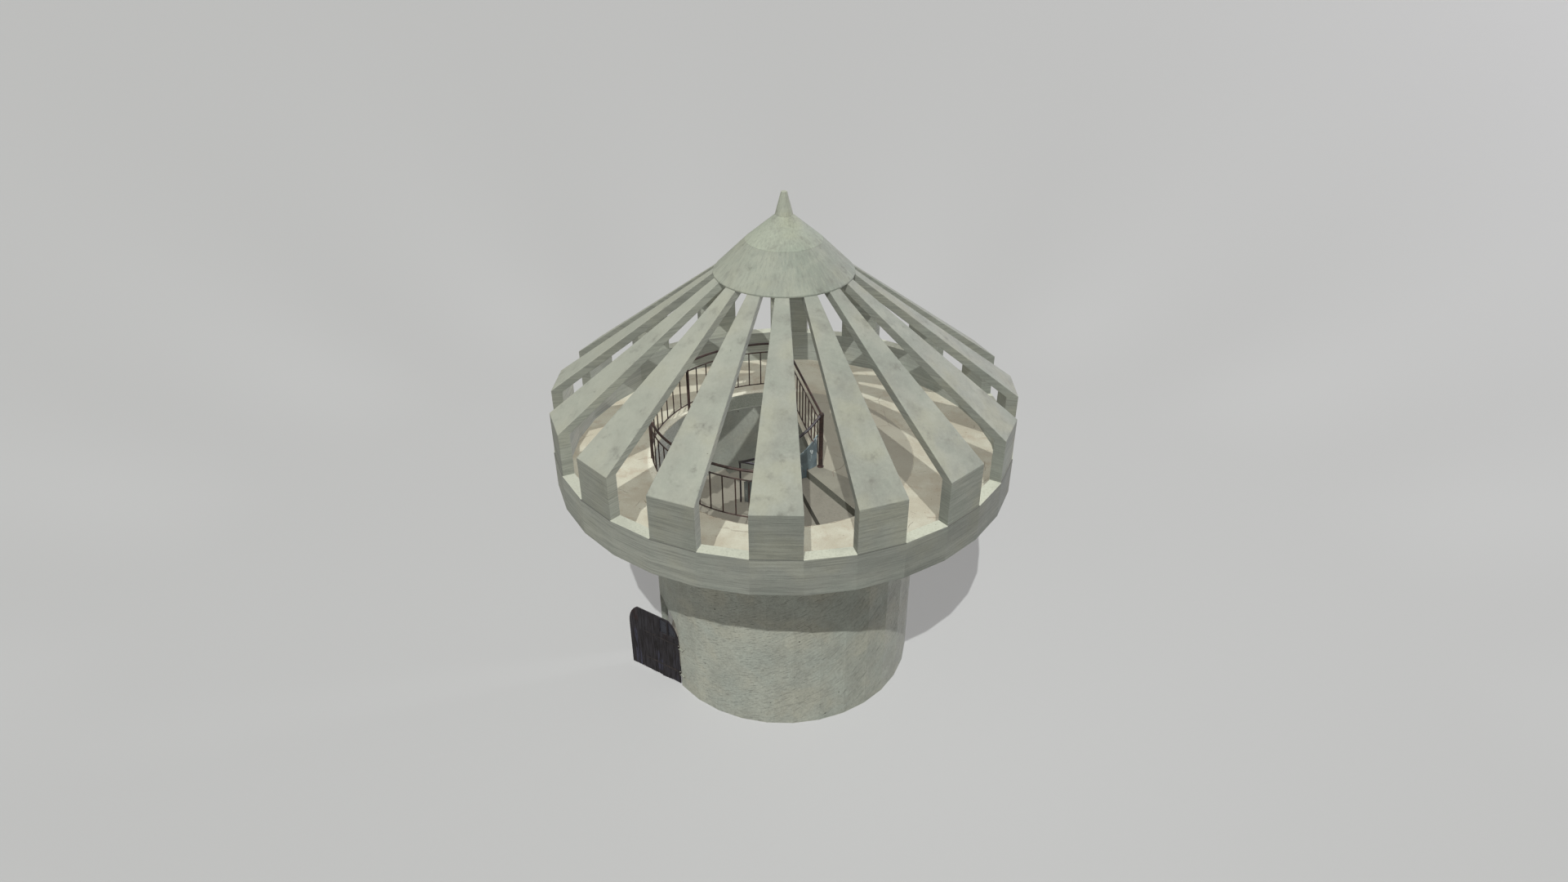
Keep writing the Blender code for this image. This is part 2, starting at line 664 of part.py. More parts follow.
def door():
    """The plank leaf, standing open, with its strap hinges, and the pintles in the wall."""
    frame = door_frame()
    pin = frame @ Vector((PIN_ALONG, PIN_OUT, 0))
    axis = bpy.data.objects.new("door_axis", None)
    axis.location = pin
    axis.rotation_euler.z = math.radians(DOOR_AZIMUTH - 90 + LEAF_OPEN)
    parts.objects.link(axis)

    leaf_half = DOORWAY_WIDTH / 2 - LEAF_EDGE_CLEARANCE
    outer = -KNUCKLE_RADIUS - GAP
    to_hinge = Vector((-PIN_ALONG, 0, 0))
    bm = upright_plate(
        arch_outline(leaf_half, LEAF_BOTTOM, LEAF_SPRINGING, DOORWAY_RISE, LEAF_TOP),
        outer - LEAF_THICKNESS,
        outer,
    )
    bmesh.ops.translate(bm, verts=bm.verts, vec=to_hinge)
    leaf = mesh_object("door_leaf", bm)
    leaf.parent = axis
    paint(leaf, OLD_BOARDS)
    steps = 6
    middle = outer - LEAF_THICKNESS / 2
    for number, (near, far) in enumerate(LIGHTS):
        for shrink in (0, GAP):
            outline = [(near + shrink, LIGHT_BOTTOM + shrink), (far - shrink, LIGHT_BOTTOM + shrink)]
            for step in range(steps + 1):
                x = far - shrink + (near - far + 2 * shrink) * step / steps
                top = min(arch_height(x + PIN_ALONG, leaf_half, LEAF_SPRINGING, DOORWAY_RISE), LEAF_TOP)
                outline.append((x, top - LIGHT_FRAME - shrink))
            if shrink:
                half = PANE_THICKNESS / 2
                bm = upright_plate(outline, middle - half, middle + half)
                pane = mesh_object(f"door_pane_{number + 1}", bm)
                pane.parent = axis
                paint(pane, DIM_GLASS)
            else:
                cutter = helper("light", upright_plate(outline, outer - 1, outer + 1))
                cutter.parent = axis
                boolean(leaf, cutter, "DIFFERENCE")

    facet = FIRST_CORNER - 4 * FACET + FACET / 2
    wall = Matrix.Rotation(math.radians(facet - 90), 4, "Z")
    pin_on_wall = wall.inverted() @ pin
    face = DRUM_RADIUS * math.cos(math.radians(FACET / 2)) + GAP
    for side, height in HINGE_HEIGHTS.items():
        middle = Vector((0, 0, height))
        half_knuckle = Vector((0, 0, KNUCKLE_HEIGHT / 2))
        strap = helper(
            "strap",
            block(
                (0, -KNUCKLE_RADIUS, height - STRAP_HEIGHT / 2),
                (STRAP_LENGTH, -KNUCKLE_RADIUS + STRAP_THICKNESS, height + STRAP_HEIGHT / 2),
            ),
        )
        knuckle = bar(middle - half_knuckle, middle + half_knuckle, 2 * KNUCKLE_RADIUS, 16)
        strap = weld("door_strap_" + side, [strap, knuckle], RUSTY_IRON)
        strap.parent = axis
        bore = bar(middle - 2 * half_knuckle, middle + 2 * half_knuckle, 2 * KNUCKLE_BORE, 16)
        bore.parent = axis
        boolean(strap, bore, "DIFFERENCE")

        bar_top = height - KNUCKLE_HEIGHT / 2 - PINTLE_GAP
        foot = Vector((pin.x, pin.y, bar_top - PINTLE_BAR))
        head = Vector((pin.x, pin.y, height + KNUCKLE_HEIGHT / 2 + PINTLE_GAP))
        shelf = block(
            (pin_on_wall.x - PINTLE_BAR_LENGTH, face, bar_top - PINTLE_BAR),
            (pin_on_wall.x + PIN_RADIUS, pin_on_wall.y + PIN_RADIUS, bar_top),
            wall,
        )
        lengths = [helper("shelf", shelf), bar(foot, head, 2 * PIN_RADIUS, 16)]
        weld("door_pintle_" + side, lengths, RUSTY_IRON)


clear_scene()
drum()
gallery()
roof()
stair()
landing()
railings()
door()
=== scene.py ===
"""Looks of the lookout water tower: plastered drum, cast gallery and ribs, railings, plank door.

Metres, +Z up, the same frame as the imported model. Azimuths are in degrees from +X, counterclockwise
seen from above, and the front of the tower is at -90.
"""

import math
import random

import bmesh
import bpy
from mathutils import Matrix, Vector


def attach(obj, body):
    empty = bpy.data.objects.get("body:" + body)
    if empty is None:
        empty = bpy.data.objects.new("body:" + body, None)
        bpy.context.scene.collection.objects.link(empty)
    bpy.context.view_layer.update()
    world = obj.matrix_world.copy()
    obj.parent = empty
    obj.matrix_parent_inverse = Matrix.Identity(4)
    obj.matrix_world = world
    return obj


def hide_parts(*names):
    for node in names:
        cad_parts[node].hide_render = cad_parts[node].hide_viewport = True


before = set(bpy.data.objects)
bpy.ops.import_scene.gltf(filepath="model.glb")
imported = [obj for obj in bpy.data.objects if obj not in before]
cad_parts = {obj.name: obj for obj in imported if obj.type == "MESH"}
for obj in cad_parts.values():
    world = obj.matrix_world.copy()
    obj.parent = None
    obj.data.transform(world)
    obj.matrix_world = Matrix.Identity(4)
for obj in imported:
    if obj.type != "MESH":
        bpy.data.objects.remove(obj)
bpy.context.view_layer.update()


# Stand: a wide pale floor under an even sky, with a sun high in front of the tower and soft fills
# above, beside and inside it. The view is from well above the eaves, with the tower in the middle.
class Tone:
    """One socket among a material's nodes. Arithmetic on it adds Math nodes."""

    def __init__(self, tree, socket=None):
        self.tree = tree
        self.socket = socket

    def node(self, kind, settings, sockets, output=0):
        """Adds any node: its settings first, then the values or links of its sockets."""
        made = self.tree.nodes.new("ShaderNode" + kind)
        for name, value in settings.items():
            setattr(made, name, value)
        for name, value in sockets.items():
            if isinstance(value, Tone):
                self.tree.links.new(value.socket, made.inputs[name])
            else:
                made.inputs[name].default_value = value
        return Tone(self.tree, made.outputs[output])

    def math(self, operation, *others):
        return self.node("Math", {"operation": operation}, dict(enumerate((self, *others))))

    def __add__(self, other):
        return self.math("ADD", other)

    __radd__ = __add__

    def __sub__(self, other):
        return self.math("SUBTRACT", other)

    def __rsub__(self, other):
        return self * -1 + other

    def __mul__(self, other):
        return self.math("MULTIPLY", other)

    __rmul__ = __mul__

    def rise(self, low, high):
        """0 up to low, 1 from high on, and smooth between them."""
        smooth = {"interpolation_type": "SMOOTHSTEP"}
        return self.node("MapRange", smooth, {0: self, 1: low, 2: high})

    def mix(self, first, second, blend="MIX"):
        """A colour that goes from the first to the second as this tone goes from 0 to 1."""
        settings = {"data_type": "RGBA", "blend_type": blend}
        return self.node("Mix", settings, {0: self, 6: first, 7: second}, 2)

    def axis(self, number):
        """One of these coordinates: 0 for x, 1 for y, 2 for z."""
        return self.node("SeparateXYZ", {}, {0: self}, number)

    def from_middle(self):
        """How far these coordinates are from the tower's upright axis."""
        level = self.node("VectorMath", {"operation": "MULTIPLY"}, {0: self, 1: (1, 1, 0)})
        return level.node("VectorMath", {"operation": "LENGTH"}, {0: level}, 1)

    def times(self, factor):
        """This colour, lighter or darker by a factor."""
        return self.node("VectorMath", {"operation": "SCALE"}, {0: self, "Scale": factor})

    def noise(self, size, detail=4, roughness=0.55, stretch=(1, 1, 1), swirl=0.0):
        """Cloudy noise at these coordinates, with patches of about this size in metres."""
        laid = self.node("Mapping", {}, {"Vector": self, "Scale": stretch})
        sockets = {"Vector": laid, "Scale": 1 / size, "Detail": detail, "Roughness": roughness}
        return self.node("TexNoise", {}, {**sockets, "Distortion": swirl})


def polar(radius, azimuth, height=0.0):
    angle = math.radians(azimuth)
    return Vector((radius * math.cos(angle), radius * math.sin(angle), height))


FLOOR_WIDTH = 4000
bpy.ops.object.select_all(action="DESELECT")
eye = Vector((0, -18.83, 16.886))
looking_at = Vector((0, 0, 5.645))
aim = (looking_at - eye).to_track_quat("-Z", "Y").to_euler()
bpy.ops.object.camera_add(location=eye, rotation=aim)
camera = bpy.context.object
camera.data.sensor_width = 36
camera.data.lens = 22.49
camera.data.clip_end = 1.5 * FLOOR_WIDTH
bpy.context.scene.camera = camera
bpy.context.scene.view_settings.view_transform = "Standard"

# The wide fills cast no shadows, so the sun's are the only strong ones.
for name, azimuth, elevation, energy, angle, colour, shadow in (
    ("sun", -98, 53, 3.25, 0.5, (0.98, 1.0, 0.99), True),
    ("sky_fill", -90, 88, 1.45, 20, (0.99, 0.98, 0.94), False),
    ("left_fill", -150, 45, 0.5, 20, (1.0, 0.985, 0.95), False),
    ("edge_fill", 40, 10, 2.0, 8, (0.9, 0.86, 1.0), False),
):
    shine_from = polar(1, azimuth, math.tan(math.radians(elevation)))
    bpy.ops.object.light_add(type="SUN", rotation=shine_from.to_track_quat("Z", "Y").to_euler())
    lamp = bpy.context.object
    lamp.name = name
    lamp.data.energy = energy
    lamp.data.angle = math.radians(angle)
    lamp.data.color = colour
    lamp.data.use_shadow = shadow
for name, place, energy, radius, shadow in (
    ("gallery_fill", (0, -0.4, 8.4), 8.5, 0.5, True),
    ("cheek_fill", (2.3, -2.4, 6.7), 10.5, 0.3, False),
    ("drum_fill", (-0.2, 0, 1.3), 9, 0.2, True),
):
    bpy.ops.object.light_add(type="POINT", location=place)
    lamp = bpy.context.object
    lamp.name = name
    lamp.data.energy = energy
    lamp.data.color = (0.94, 0.97, 1.0)
    lamp.data.shadow_soft_size = radius
    lamp.data.use_shadow = shadow
    lamp.visible_camera = False
    lamp.visible_glossy = False
    # The light reaches near and far surfaces alike.
    lamp.data.use_nodes = True
    even = Tone(lamp.data.node_tree).node("LightFalloff", {}, {"Strength": 1.0}, 2)
    even.tree.links.new(even.socket, even.tree.nodes["Emission"].inputs["Strength"])

world = bpy.data.worlds.new("soft_sky")
bpy.context.scene.world = world
world.use_nodes = True
world.node_tree.nodes["Background"].inputs["Color"].default_value = (0.275, 0.273, 0.27, 1)

bpy.ops.mesh.primitive_plane_add(size=FLOOR_WIDTH, location=(0, 0, -0.001))
floor = bpy.context.object
floor.name = "pale_floor"
pale = bpy.data.materials.new("pale_floor")
pale.use_nodes = True
pale_inputs = pale.node_tree.nodes["Principled BSDF"].inputs
pale_inputs["Base Color"].default_value = (0.275, 0.275, 0.272, 1)
pale_inputs["Roughness"].default_value = 0.9
floor.data.materials.append(pale)


# Drum: a round wall of blockwork in flat facets, floated over with a grey lime plaster that has
# weathered to a speckled grey-green. It is scratched and pitted, with a few hairline cracks.
WALL_MIDDLE = 2.92


def rgb(red, green, blue):
    """A colour as it shows on a screen, 0 to 255, in linear light."""
    shares = [value / 255 for value in (red, green, blue)]
    return (*(v / 12.92 if v <= 0.04045 else ((v + 0.055) / 1.055) ** 2.4 for v in shares), 1)


def open_finish(name):
    """A new material, and the place on the object that its patterns are laid out from."""
    material = bpy.data.materials.new(name)
    material.use_nodes = True
    return material, Tone(material.node_tree).node("TexCoord", {}, {}, "Object")


def close_finish(material, colour, roughness, height, depth, constants=None):
    """Links what varies to the shader, and sets what doesn't on the shader's own sockets."""
    shader = material.node_tree.nodes["Principled BSDF"]
    normal = height.node("Bump", {}, {"Strength": 1.0, "Distance": depth, "Height": height})
    for name, value in (("Base Color", colour), ("Roughness", roughness), ("Normal", normal)):
        material.node_tree.links.new(value.socket, shader.inputs[name])
    for name, value in (constants or {}).items():
        shader.inputs[name].default_value = value
    return material


def pinholes(place, spacing, size, share):
    """Small round holes, in this share of the cells of a scatter."""
    near = place.node("TexVoronoi", {}, {"Vector": place, "Scale": 1 / spacing})
    chance = place.node("TexVoronoi", {}, {"Vector": place, "Scale": 1 / spacing}, 1)
    chosen = chance.node("SeparateColor", {}, {0: chance}, 0)
    reach = size / spacing
    return (1 - near.rise(reach * 0.5, reach)) * (1 - chosen.rise(share, share + 0.01))


def cracks(place, spacing, width, share):
    """Thin wandering lines, shown over this share of the surface."""
    bent = place.node("Mix", {"data_type": "VECTOR"}, {
        0: 0.12,
        4: place,
        5: place.node("TexNoise", {}, {"Vector": place, "Scale": 3.0, "Detail": 5.0}, 1),
    }, 1)
    edge = bent.node(
        "TexVoronoi",
        {"feature": "DISTANCE_TO_EDGE"},
        {"Vector": bent, "Scale": 1 / spacing},
    )
    patch = place.noise(0.9, 2).rise(0.62 - share, 0.66 - share)
    return (1 - edge.rise(0.0, width / spacing)) * patch


def plaster(name):
    material, place = open_finish(name)
    cloud = place.noise(0.7, 5, 0.6)
    tint = place.noise(0.8, 3, swirl=0.4)
    speckle = place.noise(0.06, 5, 0.7)
    grain = place.noise(0.012, 3, 0.6)
    x, z = place.axis(0), place.axis(2)
    outside = place.from_middle().rise(WALL_MIDDLE - 0.02, WALL_MIDDLE + 0.02)

    # Scratches lie nearly level on the tower's left and lean over more and more toward its right.
    turn = {"rotation_type": "Z_AXIS"}
    marks = 0
    for lean, share, stretch in (
        (-1.1, 1 - x.rise(-1.0, 1.0), 0.8),
        (-0.7, x.rise(-1.4, 0.4) * (1 - x.rise(0.9, 2.0)), 0.4),
        (-0.36, x.rise(0.5, 1.8) * 1.4, 0.22),
    ):
        turned = place.node("VectorRotate", turn, {"Vector": place, "Angle": z * lean})
        marks = marks + turned.noise(0.042, 4, 0.65, (1, 1, stretch)).rise(0.57, 0.68) * share
    marks = marks * (outside * 0.6 + 0.4)
    holes = pinholes(place, 0.3, 0.022, 0.35)
    fine_cracks = cracks(place, 0.9, 0.004, 0.02)

    colour = cloud.rise(0.35, 0.65).mix(rgb(136, 138, 128), rgb(147, 149, 138))
    colour = (tint.rise(0.5, 0.66) * 0.3).mix(colour, rgb(158, 154, 136))
    colour = ((1 - tint.rise(0.34, 0.5)) * 0.2).mix(colour, rgb(146, 156, 149))
    colour = (speckle.rise(0.5, 0.66) * 0.5).mix(colour, rgb(122, 123, 114))
    colour = ((1 - speckle.rise(0.34, 0.46)) * 0.28).mix(colour, rgb(170, 172, 159))
    colour = (marks * 0.4).mix(colour, rgb(92, 91, 87))
    # The inside face of the wall is painted darker, as painted shade inside the drum.
    colour = ((1 - outside) * 0.4).mix(colour, rgb(98, 98, 90))
    colour = (holes * 0.85).mix(colour, rgb(58, 54, 50))
    colour = (fine_cracks * 0.4).mix(colour, rgb(88, 84, 78))
    height = speckle * 0.7 + grain * 0.4 + cloud * 0.8
    height = height - marks * 0.7 - holes * 1.0 - fine_cracks * 0.6
    return close_finish(material, colour, speckle.rise(0.3, 0.8) * 0.12 + 0.84, height, 0.008)


def coat(node, material):
    """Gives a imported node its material. Its mesh stays as it is."""
    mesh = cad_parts[node].data
    mesh.materials.clear()
    mesh.materials.append(material)


drum_plaster = plaster("drum_plaster")
for name in ("front", "front_right", "right", "back", "left", "over_door"):
    coat("drum_wall_" + name, drum_plaster)


# Gallery deck, landing and drum floor: cast slabs with a trodden sand and lime screed, beige where
# it is clean. It has grit and hairline cracks, and a paler trowelled band behind the stairwell.
STAIRWELL_RADIUS = 2.90
LANDING_EDGE = (-57.87, -38.1)


def screed(name):
    material, place = open_finish(name)
    cloud = place.noise(0.8, 6, 0.62)
    stain = place.noise(0.35, 5, 0.65, swirl=0.6)
    grit = place.noise(0.03, 4, 0.7)
    grain = place.noise(0.007, 2)
    x, y = place.axis(0), place.axis(1)
    off_well = place.from_middle() - STAIRWELL_RADIUS
    facing = place.node("TexCoord", {}, {}, "Normal")
    side = 1 - facing.axis(2).math("ABSOLUTE").rise(0.3, 0.6)
    over_landing = x.rise(0.2, 0.6) * y.rise(-2.5, -2.3)
    landing = over_landing * (1 - off_well.rise(-0.02, 0.0))
    behind = y.rise(-2.1, -1.2) * (1 - over_landing)
    past_rim = (off_well + place.noise(0.4, 3) * 0.06).rise(0.17, 0.2)
    rim = (1 - past_rim) * off_well.rise(-0.02, -0.01)
    patched = (1 - (off_well - 0.07).math("ABSOLUTE").rise(0.03, 0.09)) * grit.rise(0.5, 0.56)
    off_joint = (off_well + place.noise(0.15, 4) * 0.08 - 0.04).math("ABSOLUTE")
    joint = (1 - off_joint.rise(0.004, 0.016)) * place.noise(0.2, 4).rise(0.38, 0.5)
    joint = joint * (1 - over_landing * 0.5)
    fine_cracks = (cracks(place, 1.3, 0.006, 0.1) + joint).math("MINIMUM", 1)
    pebbles = pinholes(place, 0.09, 0.016, 0.16)
    # The landing's edge over the stair, back to the newel, is painted the steps' darker grey.
    azimuth = y.math("ARCTAN2", x) * math.degrees(1)
    first, last = LANDING_EDGE
    past_last = azimuth.rise(last - 0.11, last + 0.11)
    threshold = azimuth.rise(first - 0.11, first + 0.11) * (1 - past_last) * landing
    step_grey = cloud.rise(0.4, 0.6).mix(rgb(92, 90, 80), rgb(103, 101, 90))
    edge_grey = grit.rise(0.4, 0.6).mix(rgb(140, 142, 131), rgb(124, 126, 115))
    painted_well_shade = grit.rise(0.4, 0.6).mix(rgb(96, 96, 86), rgb(84, 84, 76))

    colour = cloud.rise(0.36, 0.64).mix(rgb(143, 138, 122), rgb(155, 153, 138))
    colour = (stain.rise(0.52, 0.68) * 0.45).mix(colour, rgb(134, 120, 103))
    colour = (grit.rise(0.52, 0.74) * 0.4).mix(colour, rgb(116, 107, 92))
    colour = (landing * 0.75).mix(colour, rgb(114, 111, 99))
    colour = (rim * behind * 0.5).mix(colour, rgb(172, 170, 154))
    colour = (patched * behind * 0.6).mix(colour, rgb(192, 190, 176))
    colour = (pebbles * 0.7).mix(colour, rgb(104, 88, 74))
    colour = (threshold * 0.9).mix(colour, step_grey)
    colour = (fine_cracks * 0.7).mix(colour, rgb(100, 88, 74))
    # The floor is painted a little lighter to the left and darker to the right, as painted light.
    colour = colour.times(x * -0.022 + 1)
    colour = side.mix(colour, edge_grey)
    # The sides of the landing over the well are painted dark grey, as painted shade inside the drum.
    colour = (side * over_landing).mix(colour, painted_well_shade)
    height = grit * 0.5 + grain * 0.3 + cloud * 0.6 + pebbles * 0.6
    height = height - fine_cracks * (1 - side) * 1.2
    return close_finish(material, colour, grit.rise(0.3, 0.8) * 0.15 + 0.78, height, 0.005)


def dusty_floor():
    material, place = open_finish("dusty_floor")
    cloud = place.noise(0.7, 5, 0.6)
    dust = place.noise(0.05, 5, 0.68)
    colour = cloud.rise(0.36, 0.64).mix(rgb(84, 81, 73), rgb(102, 99, 90))
    colour = (dust.rise(0.5, 0.66) * 0.5).mix(colour, rgb(68, 64, 57))
    colour = (cracks(place, 1.1, 0.006, 0.1) * 0.7).mix(colour, rgb(44, 41, 37))
    return close_finish(material, colour, dust * 0.15 + 0.78, dust * 0.6 + cloud * 0.4, 0.005)


deck_screed = screed("deck_screed")
for name in ("deck_slab_left", "deck_slab_right", "landing"):
    coat(name, deck_screed)
coat("drum_floor", dusty_floor())


# Parapet: a ring cast in place on the rim of the deck, in flat facets. The boards of the mould
# left fine level streaks on its sides, and its top is a pale sill, worn round at its arrises.
SILL_TOP = 6.15
FIRST_CORNER = -97.2
POST_COUNT = 16
POST_FACE = 4.956


def deselect():
    if bpy.context.mode != "OBJECT":
        bpy.ops.object.mode_set(mode="OBJECT")
    bpy.ops.object.select_all(action="DESELECT")


def copy_of(node, name):
    """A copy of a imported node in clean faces, in edit mode with nothing selected."""
    deselect()
    piece = bpy.data.objects.new(name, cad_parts[node].data.copy())
    piece.data.materials.clear()
    bpy.context.scene.collection.objects.link(piece)
    bpy.context.view_layer.objects.active = piece
    piece.select_set(True)
    bpy.ops.object.mode_set(mode="EDIT")
    bpy.ops.mesh.select_all(action="SELECT")
    bpy.ops.mesh.remove_doubles(threshold=0.00005)
    bpy.ops.mesh.dissolve_limited(angle_limit=math.radians(0.4))
    bpy.ops.mesh.select_all(action="DESELECT")
    bpy.ops.mesh.select_mode(type="EDGE")
    return piece


def soften(piece, width, segments, chosen, sharper_than=20):
    """Rounds the chosen arrises of a piece in edit mode, and marks them, for the finishes to paint.
    """
    bm = bmesh.from_edit_mesh(piece.data)
    for edge in bm.edges:
        middle = (edge.verts[0].co + edge.verts[1].co) / 2
        sharp = math.degrees(edge.calc_face_angle(0)) > sharper_than
        edge.select_set(sharp and chosen(middle, edge))
    bmesh.update_edit_mesh(piece.data)
    bpy.ops.mesh.bevel(offset=width, segments=segments, profile=0.5, clamp_overlap=True)
    bm = bmesh.from_edit_mesh(piece.data)
    worn = bm.faces.layers.float.get("arris") or bm.faces.layers.float.new("arris")
    for face in bm.faces:
        if face.select:
            face[worn] = 1.0
    bmesh.update_edit_mesh(piece.data)
    bpy.ops.mesh.select_all(action="DESELECT")


def dress(piece, material, body, slot, *nodes):
    """Leaves edit mode, gives the piece its finish and body, and puts it in place of the nodes."""
    if bpy.context.mode != "OBJECT":
        bpy.ops.object.mode_set(mode="OBJECT")
    piece.data.materials.clear()
    piece.data.materials.append(material)
    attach(piece, body)
    if nodes:
        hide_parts(*nodes)


def concrete(
    name, plain, pale, stain, blotches, sides=1.0, sill=None, boards=True, painted_right_light=0.0, ring=False
):
    """Cast concrete, mottled where it faces up. Its sides have painted shade, darker by a factor.

    The stain lies in blotches of this strength. The sill is the tone of a level top, and a further
    factor paints the sides that look right paler, as painted light. The ring has marks that keep to
    its own heights.
    """
    material, place = open_finish(name)
    facing = place.node("TexCoord", {}, {}, "Normal")
    upward = facing.axis(2).math("ABSOLUTE")
    side = 1 - upward.rise(0.2, 0.55)
    cloud = place.noise(1.2, 4, 0.5)
    blotch = place.noise(0.6, 5, 0.52, swirl=0.4)
    tint = place.noise(0.9, 2)
    speckle = place.noise(0.05, 5, 0.7)
    grain = place.noise(0.012, 3, 0.6)
    smudge = place.noise(0.3, 3, 0.5).rise(0.54, 0.74) * place.noise(0.08, 3, 0.5).rise(0.25, 0.75)
    holes = pinholes(place, 0.2, 0.012, 0.22)
    arris = place.node("Attribute", {"attribute_name": "arris"}, {}, 2)
    worn = arris * place.noise(0.12, 4).rise(0.4, 0.6)
    # The way out from the tower's axis, which hardly changes down a slope.
    spread = place.node("VectorMath", {"operation": "MULTIPLY"}, {0: place, 1: (1, 1, 0.04)})
    outward = spread.node("VectorMath", {"operation": "NORMALIZE"}, {0: spread})

    def shade(tone, *factors):
        """The tone times one factor, or times one each for red, green and blue."""
        factors = factors if len(factors) == 3 else factors * 3
        return tuple(min(1, value * factor) for value, factor in zip(tone, factors)) + (1,)

    colour = cloud.rise(0.36, 0.64).mix(plain, pale)
    colour = (tint.rise(0.48, 0.64) * 0.5).mix(colour, shade(pale, 1.04, 1.0, 0.88))
    colour = ((1 - tint.rise(0.36, 0.52)) * 0.4).mix(colour, shade(plain, 0.93, 1.0, 0.99))
    colour = (blotch.rise(0.44, 0.72) * blotches * (1 - side * 0.75)).mix(colour, stain)
    colour = ((1 - blotch.rise(0.3, 0.46)) * 0.5).mix(colour, shade(pale, 1.12, 1.12, 1.1))
    colour = (smudge * (1 - side * 0.75) * 0.7).mix(colour, shade(stain, 0.76, 0.73, 0.7))
    colour = (speckle.rise(0.5, 0.72) * 0.2).mix(colour, stain)
    colour = ((1 - speckle.rise(0.3, 0.45)) * 0.2).mix(colour, shade(pale, 1.3))
    if sill:
        top = upward.rise(0.8, 0.95)
        colour = (top * 0.9).mix(colour, sill)
        colour = (top * speckle.rise(0.48, 0.66) * 0.3).mix(colour, stain)
        colour = (top * blotch.rise(0.5, 0.66) * 0.25).mix(colour, stain)
    if ring:
        # A band under the sill is painted darker and a band below it paler, as painted shade and
        # painted light.
        z = place.axis(2) - SILL_TOP
        painted_light_band = 1 - (z + 0.55).math("ABSOLUTE").rise(0.03, 0.16)
        colour = (z.rise(-0.43, -0.15) * side * 0.35).mix(colour, shade(plain, 0.82))
        colour = (painted_light_band * side * 0.3).mix(colour, shade(pale, 1.16, 1.16, 1.14))
    # The left side is painted a little paler, as painted light.
    painted_left_light = 1 - outward.axis(0).rise(-1.0, 0.2)
    colour = (painted_left_light * (1 - smudge) * 0.5).mix(colour, shade(pale, 1.16, 1.15, 1.12))
    # The sides are painted darker by a factor, as painted shade.
    colour = side.mix(colour, colour.times(sides))
    height = speckle * 0.5 + grain * 0.4 + blotch * 0.4 - holes * 1.0
    if boards:
        streaks = place.noise(0.8, 7, 0.68, (1, 1, 26))
        bands = place.noise(1.6, 3, 0.5, (0.25, 0.25, 7))
        pale_streaks = 1 - streaks.rise(0.38, 0.48)
        colour = (streaks.rise(0.48, 0.62) * side * 0.5).mix(colour, shade(plain, 0.64 * sides))
        colour = (pale_streaks * side * 0.35).mix(colour, shade(pale, 1.2 * sides))
        colour = (bands.rise(0.48, 0.6) * side * 0.3).mix(colour, shade(plain, 0.76 * sides))
        height = height + streaks * side * 0.9
    else:
        # The trowel and the rain left marks down the slope instead.
        runs = outward.noise(0.05, 5, 0.66)
        colour = (runs.rise(0.5, 0.66) * 0.4).mix(colour, shade(stain, 0.92, 0.9, 0.9))
        colour = ((1 - runs.rise(0.34, 0.48)) * 0.4).mix(colour, shade(pale, 1.16, 1.14, 1.1))
    # Sides that look right are painted paler, as painted light.
    if painted_right_light:
        right = facing.axis(0).rise(0.15, 0.45) * side
        colour = colour.times(right * painted_right_light + 1)
    colour = (holes * 0.6).mix(colour, rgb(72, 70, 64))
    # Rounded arrises are painted paler, partly wear and partly painted highlight.
    colour = (worn * 0.12).mix(colour, shade(pale, 1.25))
    if ring:
        # A post stands on every other flat length, and the joint under it is painted dark: partly
        # dirt, and partly painted shade over the rounded arris that would catch the light.
        azimuth = place.axis(1).math("ARCTAN2", place.axis(0))
        pitches = (azimuth - math.radians(FIRST_CORNER)) * (POST_COUNT / math.tau)
        under_post = 1 - pitches.math("FRACT").rise(0.495, 0.505)
        at_face = place.from_middle().rise(POST_FACE - 0.006, POST_FACE)
        joint = z.rise(-0.022, -0.012) * at_face * under_post
        colour = (joint * 0.95).mix(colour, rgb(76, 77, 71))
    return close_finish(material, colour, speckle.rise(0.3, 0.8) * 0.14 + 0.8, height, 0.007)


def level_arris(middle, edge):
    """Says yes to level edges of the ring that don't lie in the joint between its halves."""
    joint = polar(1, FIRST_CORNER + 90)
    level = abs((edge.verts[0].co - edge.verts[1].co).z) < 0.01
    return level and abs(middle.dot(joint)) > 0.2


parapet_concrete = concrete(
    "parapet_concrete", rgb(120, 122, 114), rgb(131, 133, 124), rgb(100, 102, 94),
    0.4, 0.95, rgb(158, 160, 145), ring=True,
)
for half in ("left", "right"):
    ring = copy_of("parapet_" + half, "parapet_ring_" + half)
    soften(ring, 0.009, 3, level_arris)
    dress(ring, parapet_concrete, "tower", "gallery_concrete", "parapet_" + half)


# Ribs: sixteen precast members, each a post on the sill that bends into a rafter up to the crown.
# The upper faces are float-finished and mottled with lichen, the cheeks show the mould's boards.
# The ribs' sides are painted darker, as painted shade, and those that look right paler, as painted
# light.
rib_concrete = concrete(
    "rib_concrete", rgb(120, 122, 113), rgb(129, 131, 121), rgb(101, 102, 95), 0.5, 0.84, painted_right_light=0.36
)
first = copy_of("rib_01", "rib_member_01")
soften(first, 0.012, 3, lambda middle, edge: middle.z > SILL_TOP + 0.01)
bpy.ops.object.mode_set(mode="OBJECT")
members = [first]
for number in range(1, POST_COUNT):
    member = first.copy()
    member.data = first.data.copy()
    member.name = f"rib_member_{number + 1:02d}"
    bpy.context.scene.collection.objects.link(member)
    member.data.transform(Matrix.Rotation(math.radians(number * 360 / POST_COUNT), 4, "Z"))
    members.append(member)
for number, member in enumerate(members, 1):
    dress(member, rib_concrete, "tower", "rib_concrete", f"rib_{number:02d}")


